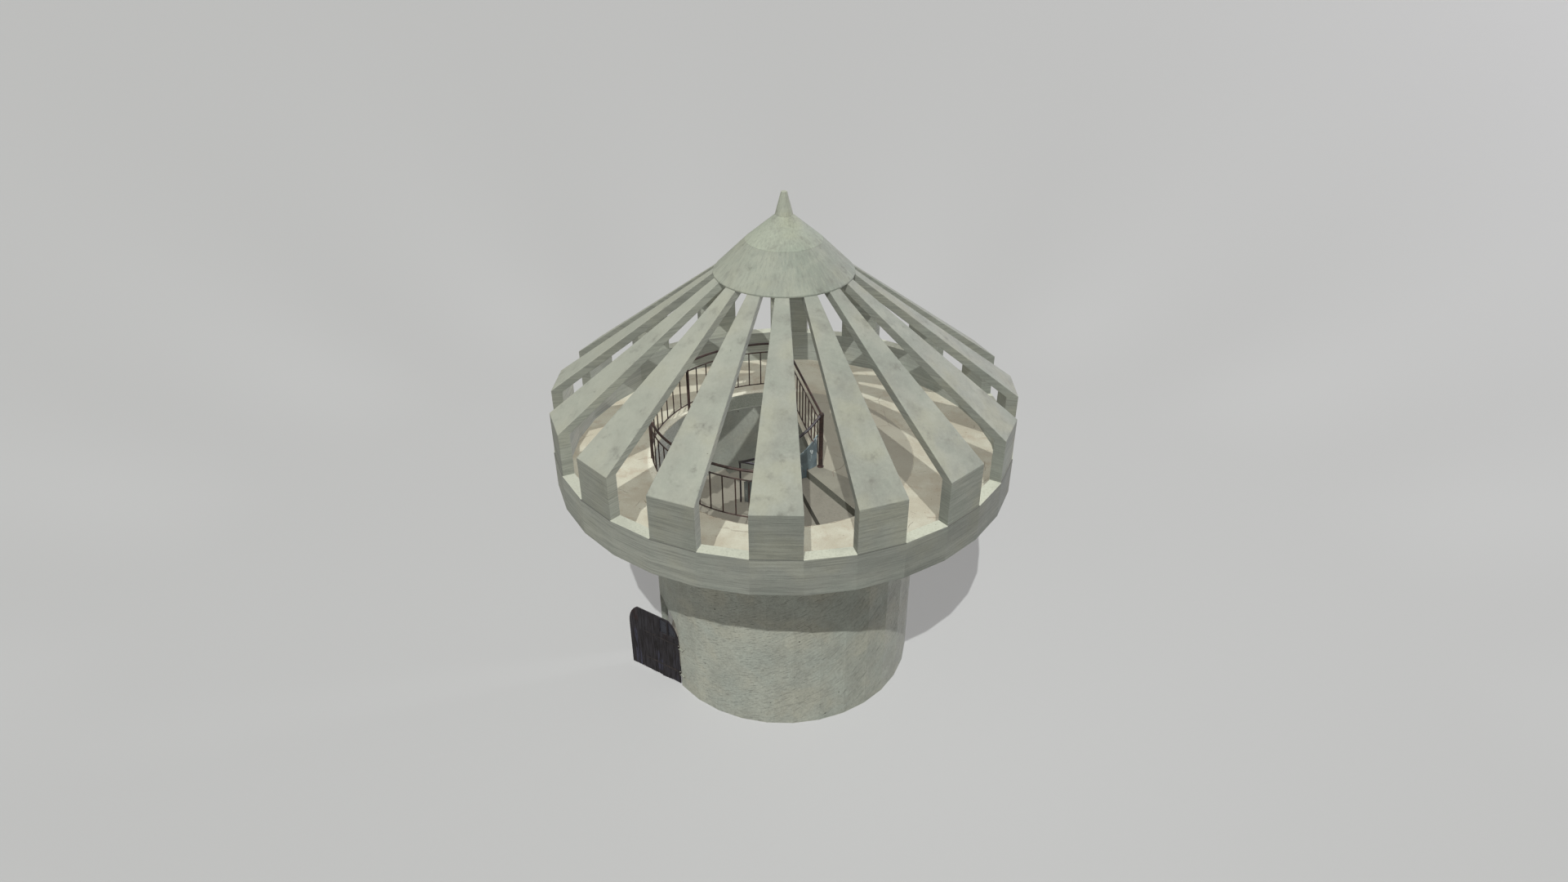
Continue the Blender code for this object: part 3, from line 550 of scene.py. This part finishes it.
# Crown and cap: a ring that the ribs lean on, a conical skirt with a lip over their ends, a flatter
# cone on the skirt, and a slender finial, all cast and smoothed by trowel, with rain stains.
cap_concrete = concrete(
    "cap_concrete", rgb(117, 121, 111), rgb(127, 130, 119), rgb(102, 105, 97), 0.45,
    boards=False,
)
cone_concrete = concrete(
    "cone_concrete", rgb(124, 129, 117), rgb(134, 139, 126), rgb(109, 111, 102), 0.4,
    boards=False,
)
finial_concrete = concrete(
    "finial_concrete", rgb(132, 135, 123), rgb(140, 143, 130), rgb(116, 118, 108), 0.3,
    boards=False,
)
for node, width, material in (
    ("crown_ring", 0.01, cap_concrete),
    ("cap_skirt", 0.01, cap_concrete),
    ("cap_crown", 0.004, cone_concrete),
    ("finial", 0.008, finial_concrete),
):
    cast = copy_of(node, node + "_cast")
    soften(cast, width, 3, lambda middle, edge: True, 25)
    dress(cast, material, "tower", "cap_concrete", node)


# Stair: wedge-shaped concrete steps built into the drum wall, each a little over the next, with
# nosings rounded by feet. They are a darker, browner grey than the rest.
# The risers and sides of the steps are painted much darker, as painted shade.
stair_concrete = concrete(
    "stair_concrete", rgb(92, 90, 81), rgb(102, 99, 89), rgb(78, 75, 67), 0.5, 0.62, rgb(99, 96, 86)
)


def nosing_edge(middle, edge):
    """Says yes to edges that are clear of the drum wall and of the stair's inner end."""
    return 1.1 < math.hypot(middle.x, middle.y) < 2.8


for number in range(1, 5):
    flight = copy_of(f"stair_flight_{number}", f"stair_steps_{number}")
    soften(flight, 0.012, 2, nosing_edge, 60)
    dress(flight, stair_concrete, "tower", "stair_concrete", f"stair_flight_{number}")


# Stair string: a curved plate round the open eye of the stair, rolled from steel with a flat bar
# along both edges, bolted to the treads and painted blue-grey. The paint shines, and its white
# flecks are partly flaked paint and partly painted glints.
DECK_TOP = 5.365
FLOOR_TOP = 0.06
FLOOR_GAP = 0.0003
TREADS = 28
RISE = (DECK_TOP - FLOOR_TOP) / (TREADS + 1)
TREAD_ANGLE = 16.4
FIRST_RISER = -57.5
STAIR_FOOT = FIRST_RISER - TREADS * TREAD_ANGLE
STRING_START = -38.0
STRING_RADIUS = 0.9125
STRING_BELOW = 0.30
STRING_BARS = (  # bottom, top, thickness: the plate, then the flat bars along its edges
    (0.010, 0.840, 0.009), (0.000, 0.012, 0.025), (0.838, 0.850, 0.025),
)
BOLT_RADIUS = STRING_RADIUS - 0.0047
BOLTS_BELOW = 0.17
WINDING_STEP = 4


def nosing(azimuth):
    """Height of the line over the tread edges, which falls clockwise from the landing."""
    return DECK_TOP - (FIRST_RISER - azimuth) / TREAD_ANGLE * RISE


def start_piece(name):
    """A piece with nothing in it yet, in edit mode."""
    deselect()
    piece = bpy.data.objects.new(name, bpy.data.meshes.new(name))
    bpy.context.scene.collection.objects.link(piece)
    bpy.context.view_layer.objects.active = piece
    piece.select_set(True)
    bpy.ops.object.mode_set(mode="EDIT")
    return piece


def wind_down(piece, start, end):
    """Winds an outline at the start azimuth down the stair's slope, and closes its ends."""
    bpy.ops.object.mode_set(mode="OBJECT")
    screw = piece.modifiers.new("wind", "SCREW")
    screw.axis = "Z"
    screw.angle = math.radians(end - start)
    screw.screw_offset = nosing(end) - nosing(start)
    screw.steps = screw.render_steps = round(abs(end - start) / WINDING_STEP)
    screw.use_smooth_shade = False
    bpy.ops.object.modifier_apply(modifier="wind")
    bpy.ops.object.mode_set(mode="EDIT")
    bpy.ops.mesh.select_all(action="SELECT")
    bpy.ops.mesh.fill_holes(sides=0)
    bpy.ops.mesh.normals_make_consistent(inside=False)
    bpy.ops.mesh.select_all(action="DESELECT")


def drawn_up(rings, sides):
    """Round work drawn up from its foot, ring by ring: (radius, height) of each."""
    radius, height = rings[0]
    bpy.ops.mesh.primitive_circle_add(
        vertices=sides, radius=radius, fill_type="NGON", location=(0, 0, height)
    )
    for wider, higher in rings[1:]:
        bpy.ops.mesh.extrude_region_move(TRANSFORM_OT_translate={"value": (0, 0, higher - height)})
        share = wider / radius
        bpy.ops.transform.resize(value=(share, share, 1), center_override=(0, 0, higher))
        radius, height = wider, higher
    bpy.ops.mesh.select_all(action="SELECT")
    bpy.ops.mesh.normals_make_consistent(inside=False)


def set_copies(piece, model, places):
    """Joins copies of a model to the piece, one at each matrix."""
    deselect()
    for matrix in places:
        copy = bpy.data.objects.new(model.name, model.data.copy())
        copy.data.transform(matrix)
        bpy.context.scene.collection.objects.link(copy)
        copy.select_set(True)
    piece.select_set(True)
    bpy.context.view_layer.objects.active = piece
    bpy.ops.object.join()


def painted_plate():
    material, place = open_finish("string_paint")
    cloud = place.noise(0.3, 5, 0.6)
    fleck_noise = place.noise(0.09, 6, 0.7, (1, 1, 0.5))
    rust = place.noise(0.16, 5, 0.65, (1, 1, 0.35), 0.5)
    grain = place.noise(0.012, 2)
    colour = cloud.rise(0.36, 0.64).mix(rgb(84, 94, 97), rgb(103, 116, 120))
    flaked_and_glinting = fleck_noise.rise(0.6, 0.63)
    rusty = rust.rise(0.58, 0.66)
    # White flecks are partly flaked paint and partly painted glints.
    colour = (flaked_and_glinting * 0.85).mix(colour, rgb(190, 196, 194))
    colour = (rusty * 0.85).mix(colour, rgb(86, 58, 44))
    height = cloud * 0.3 + grain * 0.1 - flaked_and_glinting * 0.25 + rusty * grain * 0.8
    return close_finish(material, colour, cloud * 0.2 + rusty * 0.4 + 0.22, height, 0.004)


string = start_piece("stair_string_plate")
along = polar(1, STRING_START)
for low, high, thickness in STRING_BARS:
    height = nosing(STRING_START) - STRING_BELOW + (low + high) / 2
    middle = polar(STRING_RADIUS, STRING_START, height)
    bpy.ops.mesh.select_all(action="DESELECT")
    bpy.ops.mesh.primitive_plane_add(
        size=1, location=middle, rotation=(math.pi / 2, 0, math.radians(STRING_START))
    )
    bpy.ops.transform.resize(value=(1, 1, high - low), center_override=middle)
    bm = bmesh.from_edit_mesh(string.data)
    for vert in bm.verts:
        if vert.select:
            vert.co += along * (vert.co - middle).dot(along) * (thickness - 1)
    bmesh.update_edit_mesh(string.data)
bpy.ops.mesh.select_all(action="SELECT")
bpy.ops.mesh.delete(type="ONLY_FACE")
wind_down(string, STRING_START, STAIR_FOOT)
bpy.ops.mesh.select_all(action="SELECT")
bpy.ops.mesh.bisect(
    plane_co=(0, 0, FLOOR_TOP + FLOOR_GAP), plane_no=(0, 0, 1), use_fill=True, clear_inner=True
)
bolt = start_piece("bolt")
drawn_up(((0.016, 0), (0.016, 0.006), (0.010, 0.010)), 6)
places = []
for number in range(1, TREADS + 1):
    for share in (0.3, 0.7):
        azimuth = FIRST_RISER - (number - share) * TREAD_ANGLE
        inward = polar(-1, azimuth).to_track_quat("Z", "Y").to_matrix().to_4x4()
        spot = polar(BOLT_RADIUS, azimuth, nosing(azimuth) - BOLTS_BELOW)
        places.append(Matrix.Translation(spot) @ inward)
set_copies(string, bolt, places)
bpy.data.objects.remove(bolt)
deselect()
string.select_set(True)
bpy.ops.object.shade_smooth_by_angle(angle=math.radians(30))
replaced = [f"stair_string_{number}" for number in range(1, 5)]
dress(string, painted_plate(), "tower", "string_plate", *replaced)


# Stair handrail: a round iron rail wound down over the string, on posts that stand on every fourth
# tread, with a weld bead at each end of a post.
def rusty_iron(name, plain, worn):
    material, place = open_finish(name)
    cloud = place.noise(0.12, 6, 0.68)
    flakes = place.noise(0.035, 5, 0.7)
    grain = place.noise(0.006, 2)
    colour = cloud.rise(0.36, 0.64).mix(plain, worn)
    colour = (flakes.rise(0.54, 0.66) * 0.5).mix(colour, rgb(100, 72, 60))
    colour = ((1 - flakes.rise(0.34, 0.44)) * 0.7).mix(colour, rgb(33, 28, 29))
    height = flakes * 0.8 + grain * 0.4 + cloud * 0.4
    return close_finish(material, colour, flakes * 0.35 + 0.38, height, 0.002, {"Metallic": 0.2})


STAIR_RAIL_THICKNESS = 0.066
STAIR_RAIL_START = -38.6
STAIR_RAIL_RADIUS = 1.0
STAIR_RAIL_ABOVE = 1.09
TREADS_PER_POST = 4
stair_iron = rusty_iron("stair_iron", rgb(44, 41, 44), rgb(60, 56, 60))


def finish_iron(piece, iron, *nodes):
    """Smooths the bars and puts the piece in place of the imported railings."""
    deselect()
    piece.select_set(True)
    bpy.context.view_layer.objects.active = piece
    bpy.ops.object.shade_smooth_by_angle(angle=math.radians(40))
    dress(piece, iron, "tower", "railing_iron", *nodes)


stair_rail = start_piece("stair_handrail")
bpy.ops.mesh.primitive_circle_add(
    vertices=12,
    radius=STAIR_RAIL_THICKNESS / 2,
    location=polar(
        STAIR_RAIL_RADIUS, STAIR_RAIL_START, nosing(STAIR_RAIL_START) + STAIR_RAIL_ABOVE
    ),
    rotation=(math.pi / 2, 0, math.radians(STAIR_RAIL_START)),
)
wind_down(stair_rail, STAIR_RAIL_START, STAIR_FOOT)
for number in range(TREADS_PER_POST, TREADS + 1, TREADS_PER_POST):
    azimuth = FIRST_RISER - (number - 0.5) * TREAD_ANGLE
    post = start_piece("post")
    tread = DECK_TOP - number * RISE
    top = nosing(azimuth) + STAIR_RAIL_ABOVE - STAIR_RAIL_THICKNESS / 2
    drawn_up((
        (0.045, tread + 0.0005), (0.045, tread + 0.008), (0.026, tread + 0.01),
        (0.02, tread + 0.03), (0.02, top - 0.02), (0.027, top), (0.02, top + 0.012),
    ), 12)
    set_copies(stair_rail, post, [Matrix.Translation(polar(STAIR_RAIL_RADIUS, azimuth))])
    bpy.data.objects.remove(post)
finish_iron(stair_rail, stair_iron, "stair_handrail_1", "stair_handrail_2")


# Railings: panels of round iron bars, welded, round the well and along the landing's edge. Their
# newels stand in sleeves let into the concrete. The dark red paint has mostly rusted brown.
RAILING_RADIUS = STAIRWELL_RADIUS + 0.04
RAILING_NEWELS = (90.0, 141.0, 185.0, 229.0, 262.0)
BALUSTER_PITCH = 0.29
STAIR_NEWEL = Vector((0.80, -0.62, 0))
RAILS = ((1.31, 0.056, 12), (1.085, 0.030, 8), (0.22, 0.030, 8))  # height, thickness, sides
railing_iron = rusty_iron("railing_iron", rgb(38, 30, 28), rgb(61, 44, 39))


def stood_on_deck(name, rings, sides):
    """A round bar for the railings: (radius, height above the deck) of each ring."""
    bar = start_piece(name)
    drawn_up([(radius, DECK_TOP + height) for radius, height in rings], sides)
    return bar


def rail_end(location, rotation, thickness, sides):
    """The outline that a rail is drawn out from, alone selected."""
    bpy.ops.mesh.select_all(action="DESELECT")
    bpy.ops.mesh.primitive_circle_add(
        vertices=sides, radius=thickness / 2, fill_type="NGON", location=location, rotation=rotation
    )


baluster = stood_on_deck("baluster", (
    (0.010, 0.222), (0.021, 0.234), (0.014, 0.25), (0.014, 1.055), (0.021, 1.071), (0.010, 1.083),
), 8)
newel = stood_on_deck("newel", (
    (0.039, 0.0005), (0.039, 0.045), (0.035, 0.055), (0.035, 1.285), (0.042, 1.293),
    (0.042, 1.318), (0.033, 1.338), (0.012, 1.348),
), 14)
stair_newel = stood_on_deck("stair_newel", (
    (0.075, 0.0005), (0.075, 0.012), (0.056, 0.018), (0.050, 0.04), (0.050, 1.27),
    (0.057, 1.283), (0.057, 1.315), (0.045, 1.338), (0.015, 1.348),
), 16)
for number, (start, end) in enumerate(zip(RAILING_NEWELS, RAILING_NEWELS[1:]), 1):
    panel = start_piece(f"well_railing_{number}")
    arc = math.radians(end - start)
    for height, thickness, sides in RAILS:
        foot = polar(RAILING_RADIUS, start, DECK_TOP + height)
        rail_end(foot, (math.pi / 2, 0, math.radians(start)), thickness, sides)
        bpy.ops.mesh.spin(
            steps=round((end - start) / 3), angle=-arc, center=(0, 0, 0), axis=(0, 0, 1)
        )
    bpy.ops.mesh.select_all(action="SELECT")
    bpy.ops.mesh.remove_doubles(threshold=0.0002)
    bpy.ops.mesh.normals_make_consistent(inside=False)
    count = round(arc * RAILING_RADIUS / BALUSTER_PITCH)
    between = [start + (end - start) * step / count for step in range(1, count)]
    ends = [start] if end < RAILING_NEWELS[-1] else [start, end]
    for model, azimuths in ((baluster, between), (newel, ends)):
        places = [Matrix.Translation(polar(RAILING_RADIUS, azimuth)) for azimuth in azimuths]
        set_copies(panel, model, places)
    finish_iron(panel, railing_iron, f"stairwell_railing_{number}")

panel = start_piece("landing_edge_railing")
run = polar(RAILING_RADIUS, RAILING_NEWELS[0]) - STAIR_NEWEL
lie = run.to_track_quat("Z", "Y").to_euler()
for height, thickness, sides in RAILS:
    rail_end(STAIR_NEWEL + Vector((0, 0, DECK_TOP + height)), lie, thickness, sides)
    bpy.ops.mesh.extrude_region_move(TRANSFORM_OT_translate={"value": run})
bpy.ops.mesh.select_all(action="SELECT")
bpy.ops.mesh.normals_make_consistent(inside=False)
count = round(run.length / BALUSTER_PITCH)
places = [Matrix.Translation(STAIR_NEWEL + run * step / count) for step in range(1, count)]
set_copies(panel, baluster, places)
set_copies(panel, stair_newel, [Matrix.Translation(STAIR_NEWEL)])
finish_iron(panel, railing_iron, "landing_railing")
for model in (baluster, newel, stair_newel):
    bpy.data.objects.remove(model)


# Door: a leaf of old vertical boards, standing open on two strap hinges. The boards are nearly
# black, worn blue-grey in streaks, frayed at the foot and set a hair apart.
PIN = Vector((-2.43374, -1.87017, 0))
LEAF_TURN = math.radians(147.3)
LEAF_PLACE = Matrix.Translation(PIN) @ Matrix.Rotation(LEAF_TURN, 4, "Z")
LEAF_FACE = -0.0223
BOARD_EDGES = (0.029, 0.200, 0.385, 0.575, 0.755, 0.930, 1.085, 1.235, 1.365, 1.481)
BOARD_THICKNESS = 0.030
BOARD_GAP = 0.003
FRAYED_BELOW = 0.12


def old_boards():
    material, place = open_finish("old_boards")
    pin_and_turn = {"Vector": place, "Location": PIN, "Rotation": (0, 0, LEAF_TURN)}
    along = place.node("Mapping", {"vector_type": "TEXTURE"}, pin_and_turn)
    s, z = along.axis(0), along.axis(2)
    board = place.node("Attribute", {"attribute_name": "board"}, {}, 2)
    shifted = along.node("CombineXYZ", {}, {0: s, 1: board * 5, 2: z})
    fibre = shifted.noise(0.02, 5, 0.65, (1, 1, 0.05))
    cloud = shifted.noise(0.3, 4, 0.6, (1, 1, 0.5))
    streak = shifted.noise(0.035, 4, 0.6, (1, 1, 0.08))
    worn = place.node("Attribute", {"attribute_name": "arris"}, {}, 2)

    def band(low, high, bottom, top):
        """Part of the leaf, between two distances from the pin and two heights."""
        across = s.rise(low - 0.015, low + 0.015) * (1 - s.rise(high - 0.015, high + 0.015))
        return across * z.rise(bottom - 0.05, bottom + 0.05) * (1 - z.rise(top - 0.1, top + 0.1))

    blue = band(1.27, 1.35, 0.1, 1.15) + band(1.19, 1.25, 0.0, 0.5)
    blue = blue + band(0.53, 0.72, 0.2, 0.75) * 0.7 + band(0.03, 0.2, 0.0, 0.9) * 0.25
    red = band(1.2, 1.5, 1.45, 1.9) + band(0.2, 0.45, 1.28, 1.38) * 0.6
    pale = band(0.93, 1.235, 1.2, 1.85) * 0.6 + cloud.rise(0.52, 0.66) * 0.25
    colour = fibre.rise(0.35, 0.65).mix(rgb(20, 17, 17), rgb(33, 30, 30))
    colour = (board * 0.35).mix(colour, rgb(40, 37, 39))
    colour = (pale * fibre.rise(0.3, 0.6) * 0.6).mix(colour, rgb(48, 48, 51))
    colour = (blue * streak.rise(0.44, 0.58) * 0.85).mix(colour, rgb(58, 60, 80))
    colour = (red * cloud.rise(0.4, 0.56) * 0.5).mix(colour, rgb(52, 37, 34))
    colour = (worn * streak.rise(0.4, 0.6) * 0.5).mix(colour, rgb(56, 54, 58))
    height = fibre + streak * 0.4
    dull = {"Specular IOR Level": 0.15}
    return close_finish(material, colour, fibre * 0.25 + 0.62, height, 0.004, dull)


def laid_flat(node, name):
    """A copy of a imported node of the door, laid along X from the pin, in edit mode."""
    part = copy_of(node, name)
    bpy.ops.object.mode_set(mode="OBJECT")
    part.data.transform(LEAF_PLACE.inverted())
    bpy.ops.object.mode_set(mode="EDIT")
    return part


def leaf_cut(name, cuts):
    """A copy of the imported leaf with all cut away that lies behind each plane."""
    part = laid_flat("door_leaf", name)
    for point, normal in cuts:
        bpy.ops.mesh.select_all(action="SELECT")
        bpy.ops.mesh.bisect(plane_co=point, plane_no=normal, use_fill=True, clear_inner=True)
    bpy.ops.mesh.select_all(action="DESELECT")
    return part


def hang(part, others, material, slot, *nodes):
    """Joins the parts, stands them in the leaf's place and lets them turn with the door."""
    deselect()
    for piece in (part, *others):
        piece.select_set(True)
    bpy.context.view_layer.objects.active = part
    if others:
        bpy.ops.object.join()
    part.data.transform(LEAF_PLACE)
    dress(part, material, "door", slot, *nodes)


chance = random.Random(11)
door_finish = old_boards()
cut_boards = []
for number, (left, right) in enumerate(zip(BOARD_EDGES, BOARD_EDGES[1:]), 1):
    set_back = chance.uniform(0.0, 0.003)
    lean = chance.uniform(-0.12, 0.12)
    foot = 0.02 + chance.uniform(0.01, 0.035)
    # The first and the last board keep the leaf's own edges.
    near = left + BOARD_GAP / 2 if number > 1 else left - 1
    far = right - BOARD_GAP / 2 if number < len(BOARD_EDGES) - 1 else right + 1
    board = leaf_cut(f"board_{number}", (
        ((near, 0, 0), (1, 0, 0)),
        ((far, 0, 0), (-1, 0, 0)),
        ((0, LEAF_FACE - BOARD_THICKNESS, 0), (0, 1, 0)),
        ((0, LEAF_FACE - set_back, 0), (0, -1, 0)),
        (((left + right) / 2, 0, foot), (lean, 0, 1)),
    ))
    soften(board, 0.0025, 2, lambda middle, edge: True, 40)
    bpy.ops.mesh.select_all(action="DESELECT")
    bm = bmesh.from_edit_mesh(board.data)
    for edge in bm.edges:
        low = max(vert.co.z for vert in edge.verts) < FRAYED_BELOW
        edge.select_set(low and abs((edge.verts[0].co - edge.verts[1].co).x) > 0.05)
    bmesh.update_edit_mesh(board.data)
    bpy.ops.mesh.subdivide(number_cuts=9)
    bm = bmesh.from_edit_mesh(board.data)
    bitten = {}
    for vert in bm.verts:
        if vert.co.z < FRAYED_BELOW:
            key = round(vert.co.x, 3)
            if key not in bitten:
                bitten[key] = chance.uniform(0, 0.022) * (chance.random() > 0.4)
            vert.co.z += bitten[key]
    tone = bm.faces.layers.float.new("board")
    shade = chance.random()
    for face in bm.faces:
        face[tone] = shade
    bmesh.update_edit_mesh(board.data)
    cut_boards.append(board)
hang(cut_boards[0], cut_boards[1:], door_finish, "door_boards", "door_leaf")
cut_boards[0].name = "door_boards"


# Ledges and brace: two level planks across the back of the boards and a slanting one between them,
# of the same old timber, nailed on from the front.
BEHIND_BOARDS = ((0, LEAF_FACE - BOARD_THICKNESS - 0.0005, 0), (0, -1, 0))
LEDGE_HEIGHTS = ((0.34, 0.50), (1.14, 1.30))
LEDGE_START = 0.06
LEDGE_END = 1.45
BRACE_RUN = 1.14
BRACE_WIDTH = 0.12
BRACE_GAP = 0.001
ledges = []
for number, (low, high) in enumerate(LEDGE_HEIGHTS, 1):
    ledge = leaf_cut(f"ledge_{number}", (
        ((LEDGE_START, 0, 0), (1, 0, 0)), ((LEDGE_END, 0, 0), (-1, 0, 0)),
        BEHIND_BOARDS,
        ((0, 0, low), (0, 0, 1)), ((0, 0, high), (0, 0, -1)),
    ))
    soften(ledge, 0.005, 2, lambda middle, edge: True, 40)
    ledges.append(ledge)
brace_foot, brace_head = LEDGE_HEIGHTS[0][1], LEDGE_HEIGHTS[1][0]
slope = Vector((BRACE_RUN, 0, brace_head - brace_foot)).normalized()
across = Vector((-slope.z, 0, slope.x))
middle = Vector(((LEDGE_START + LEDGE_END) / 2, 0, (brace_foot + brace_head) / 2))
brace = leaf_cut("brace", (
    (middle - across * BRACE_WIDTH / 2, across), (middle + across * BRACE_WIDTH / 2, -across),
    BEHIND_BOARDS,
    ((0, 0, brace_foot + BRACE_GAP), (0, 0, 1)), ((0, 0, brace_head - BRACE_GAP), (0, 0, -1)),
))
soften(brace, 0.005, 2, lambda middle, edge: True, 40)
hang(ledges[0], [ledges[1], brace], door_finish, "door_boards")
ledges[0].name = "door_ledges"


# Nails: round-headed iron nails, driven through the boards and clenched in the ledges, two to a
# board in each of four rows. They have gone black with the boards.
def dark_iron():
    material, place = open_finish("strap_iron")
    cloud = place.noise(0.1, 5, 0.65)
    flakes = place.noise(0.02, 4, 0.65)
    colour = cloud.rise(0.36, 0.64).mix(rgb(26, 24, 24), rgb(44, 39, 38))
    colour = (flakes.rise(0.56, 0.68) * 0.5).mix(colour, rgb(70, 50, 42))
    height = flakes * 0.8 + cloud * 0.3
    dull = {"Specular IOR Level": 0.25}
    return close_finish(material, colour, flakes * 0.3 + 0.5, height, 0.0015, dull)


NAIL_ROWS = [height for low, high in LEDGE_HEIGHTS for height in (low + 0.035, high - 0.025)]
strap_iron = dark_iron()
nails = start_piece("door_nails")
nail = start_piece("nail")
drawn_up(((0.008, 0), (0.0075, 0.003), (0.004, 0.005)), 8)
facing_out = Vector((0, 1, 0)).to_track_quat("Z", "Y").to_matrix().to_4x4()
places = []
for left, right in zip(BOARD_EDGES, BOARD_EDGES[1:]):
    for share, drop in ((0.28, 0.0), (0.72, 0.014)):
        for height in NAIL_ROWS:
            spot = (left + (right - left) * share, LEAF_FACE - 0.001, height - drop)
            places.append(Matrix.Translation(spot) @ facing_out)
set_copies(nails, nail, places)
bpy.data.objects.remove(nail)
hang(nails, [], strap_iron, "door_iron")


# Door hinges: straps drawn down to a point and bolted through the boards, with eyes that turn on
# hooks let into the wall. The straps are black like the nails, the hooks washed over with lime.
STRAP_FACE = -0.0142
STRAP_TAPER = 0.94
STUDS = (0.09, 0.30, 0.52, 0.74, 0.92)


def limed_iron():
    material, place = open_finish("limed_iron")
    wash = place.noise(0.03, 5, 0.65)
    grain = place.noise(0.006, 3)
    colour = wash.rise(0.4, 0.6).mix(rgb(100, 102, 93), rgb(116, 118, 107))
    colour = (wash.rise(0.62, 0.68) * 0.7).mix(colour, rgb(92, 76, 64))
    return close_finish(material, colour, wash * 0.2 + 0.75, wash * 0.6 + grain * 0.4, 0.0015)


hook_iron = limed_iron()
stud = start_piece("stud")
drawn_up(((0.013, 0), (0.012, 0.004), (0.006, 0.007)), 10)
for end, (low, high) in zip(("bottom", "top"), LEDGE_HEIGHTS):
    height = (low + high) / 2
    strap = laid_flat("door_strap_" + end, "door_hinge_" + end)
    bpy.ops.mesh.select_all(action="SELECT")
    bpy.ops.mesh.bisect(plane_co=(STRAP_TAPER, 0, 0), plane_no=(1, 0, 0))
    bpy.ops.mesh.select_all(action="DESELECT")
    # The strap narrows a little up to the cut, and from there to a blunt point.
    bm = bmesh.from_edit_mesh(strap.data)
    for vert in bm.verts:
        if vert.co.x > STRAP_TAPER - 0.04:
            narrowing = 0.62 if vert.co.x < STRAP_TAPER + 0.06 else 0.08
            vert.co.z = height + (vert.co.z - height) * narrowing
    bmesh.update_edit_mesh(strap.data)
    soften(strap, 0.0012, 2, lambda middle, edge: middle.x > 0.03, 40)
    spots = [(x, STRAP_FACE, height) for x in STUDS]
    set_copies(strap, stud, [Matrix.Translation(spot) @ facing_out for spot in spots])
    hang(strap, [], strap_iron, "door_iron", "door_strap_" + end)
    coat("door_pintle_" + end, hook_iron)
bpy.data.objects.remove(stud)


# Lights: two small panes of thin glass beside the hinge, each held by a wooden bead as dark as
# the boards. The panes are painted a dark blue-grey, as a painted reflection over painted shade of
# the dark room behind, with dusty smears low down.
BEAD_WIDTH = 0.013
BEAD_DEPTH = 0.022
BEAD_TONE = 0.4


def dusty_reflecting_glass():
    material, place = open_finish("dusty_reflecting_glass")
    dust = place.noise(0.12, 5, 0.65)
    smear = place.noise(0.05, 4, 0.6, (1, 1, 0.3))
    low = 1 - place.axis(2).rise(1.38, 1.5)
    # The dark blue-grey is a painted reflection over painted shade of the room behind.
    colour = dust.rise(0.4, 0.65).mix(rgb(38, 39, 45), rgb(46, 47, 53))
    colour = (low * smear.rise(0.4, 0.6) * 0.4).mix(colour, rgb(58, 57, 56))
    roughness = dust.rise(0.35, 0.7) * 0.35 + 0.22
    dull = {"Specular IOR Level": 0.2}
    return close_finish(material, colour, roughness, smear * 0.4 + dust, 0.001, dull)


glass = dusty_reflecting_glass()
for number in (1, 2):
    coat(f"door_pane_{number}", glass)
    bead = laid_flat(f"door_pane_{number}", f"light_bead_{number}")
    bm = bmesh.from_edit_mesh(bead.data)
    bmesh.ops.delete(bm, geom=[face for face in bm.faces if face.normal.y < 0.9], context="FACES")
    for face in bm.faces:
        face.select_set(True)
    bmesh.update_edit_mesh(bead.data)
    bpy.ops.mesh.inset(thickness=BEAD_WIDTH, depth=0)
    bpy.ops.mesh.delete(type="FACE")
    bpy.ops.mesh.select_all(action="SELECT")
    bpy.ops.mesh.extrude_region_move(TRANSFORM_OT_translate={"value": (0, BEAD_DEPTH, 0)})
    bpy.ops.mesh.select_all(action="SELECT")
    bpy.ops.mesh.normals_make_consistent(inside=False)
    bpy.ops.mesh.select_all(action="DESELECT")
    soften(bead, 0.002, 2, lambda middle, edge: True, 50)
    bm = bmesh.from_edit_mesh(bead.data)
    tone = bm.faces.layers.float.new("board")
    for face in bm.faces:
        face[tone] = BEAD_TONE
    bmesh.update_edit_mesh(bead.data)
    hang(bead, [], door_finish, "door_boards")
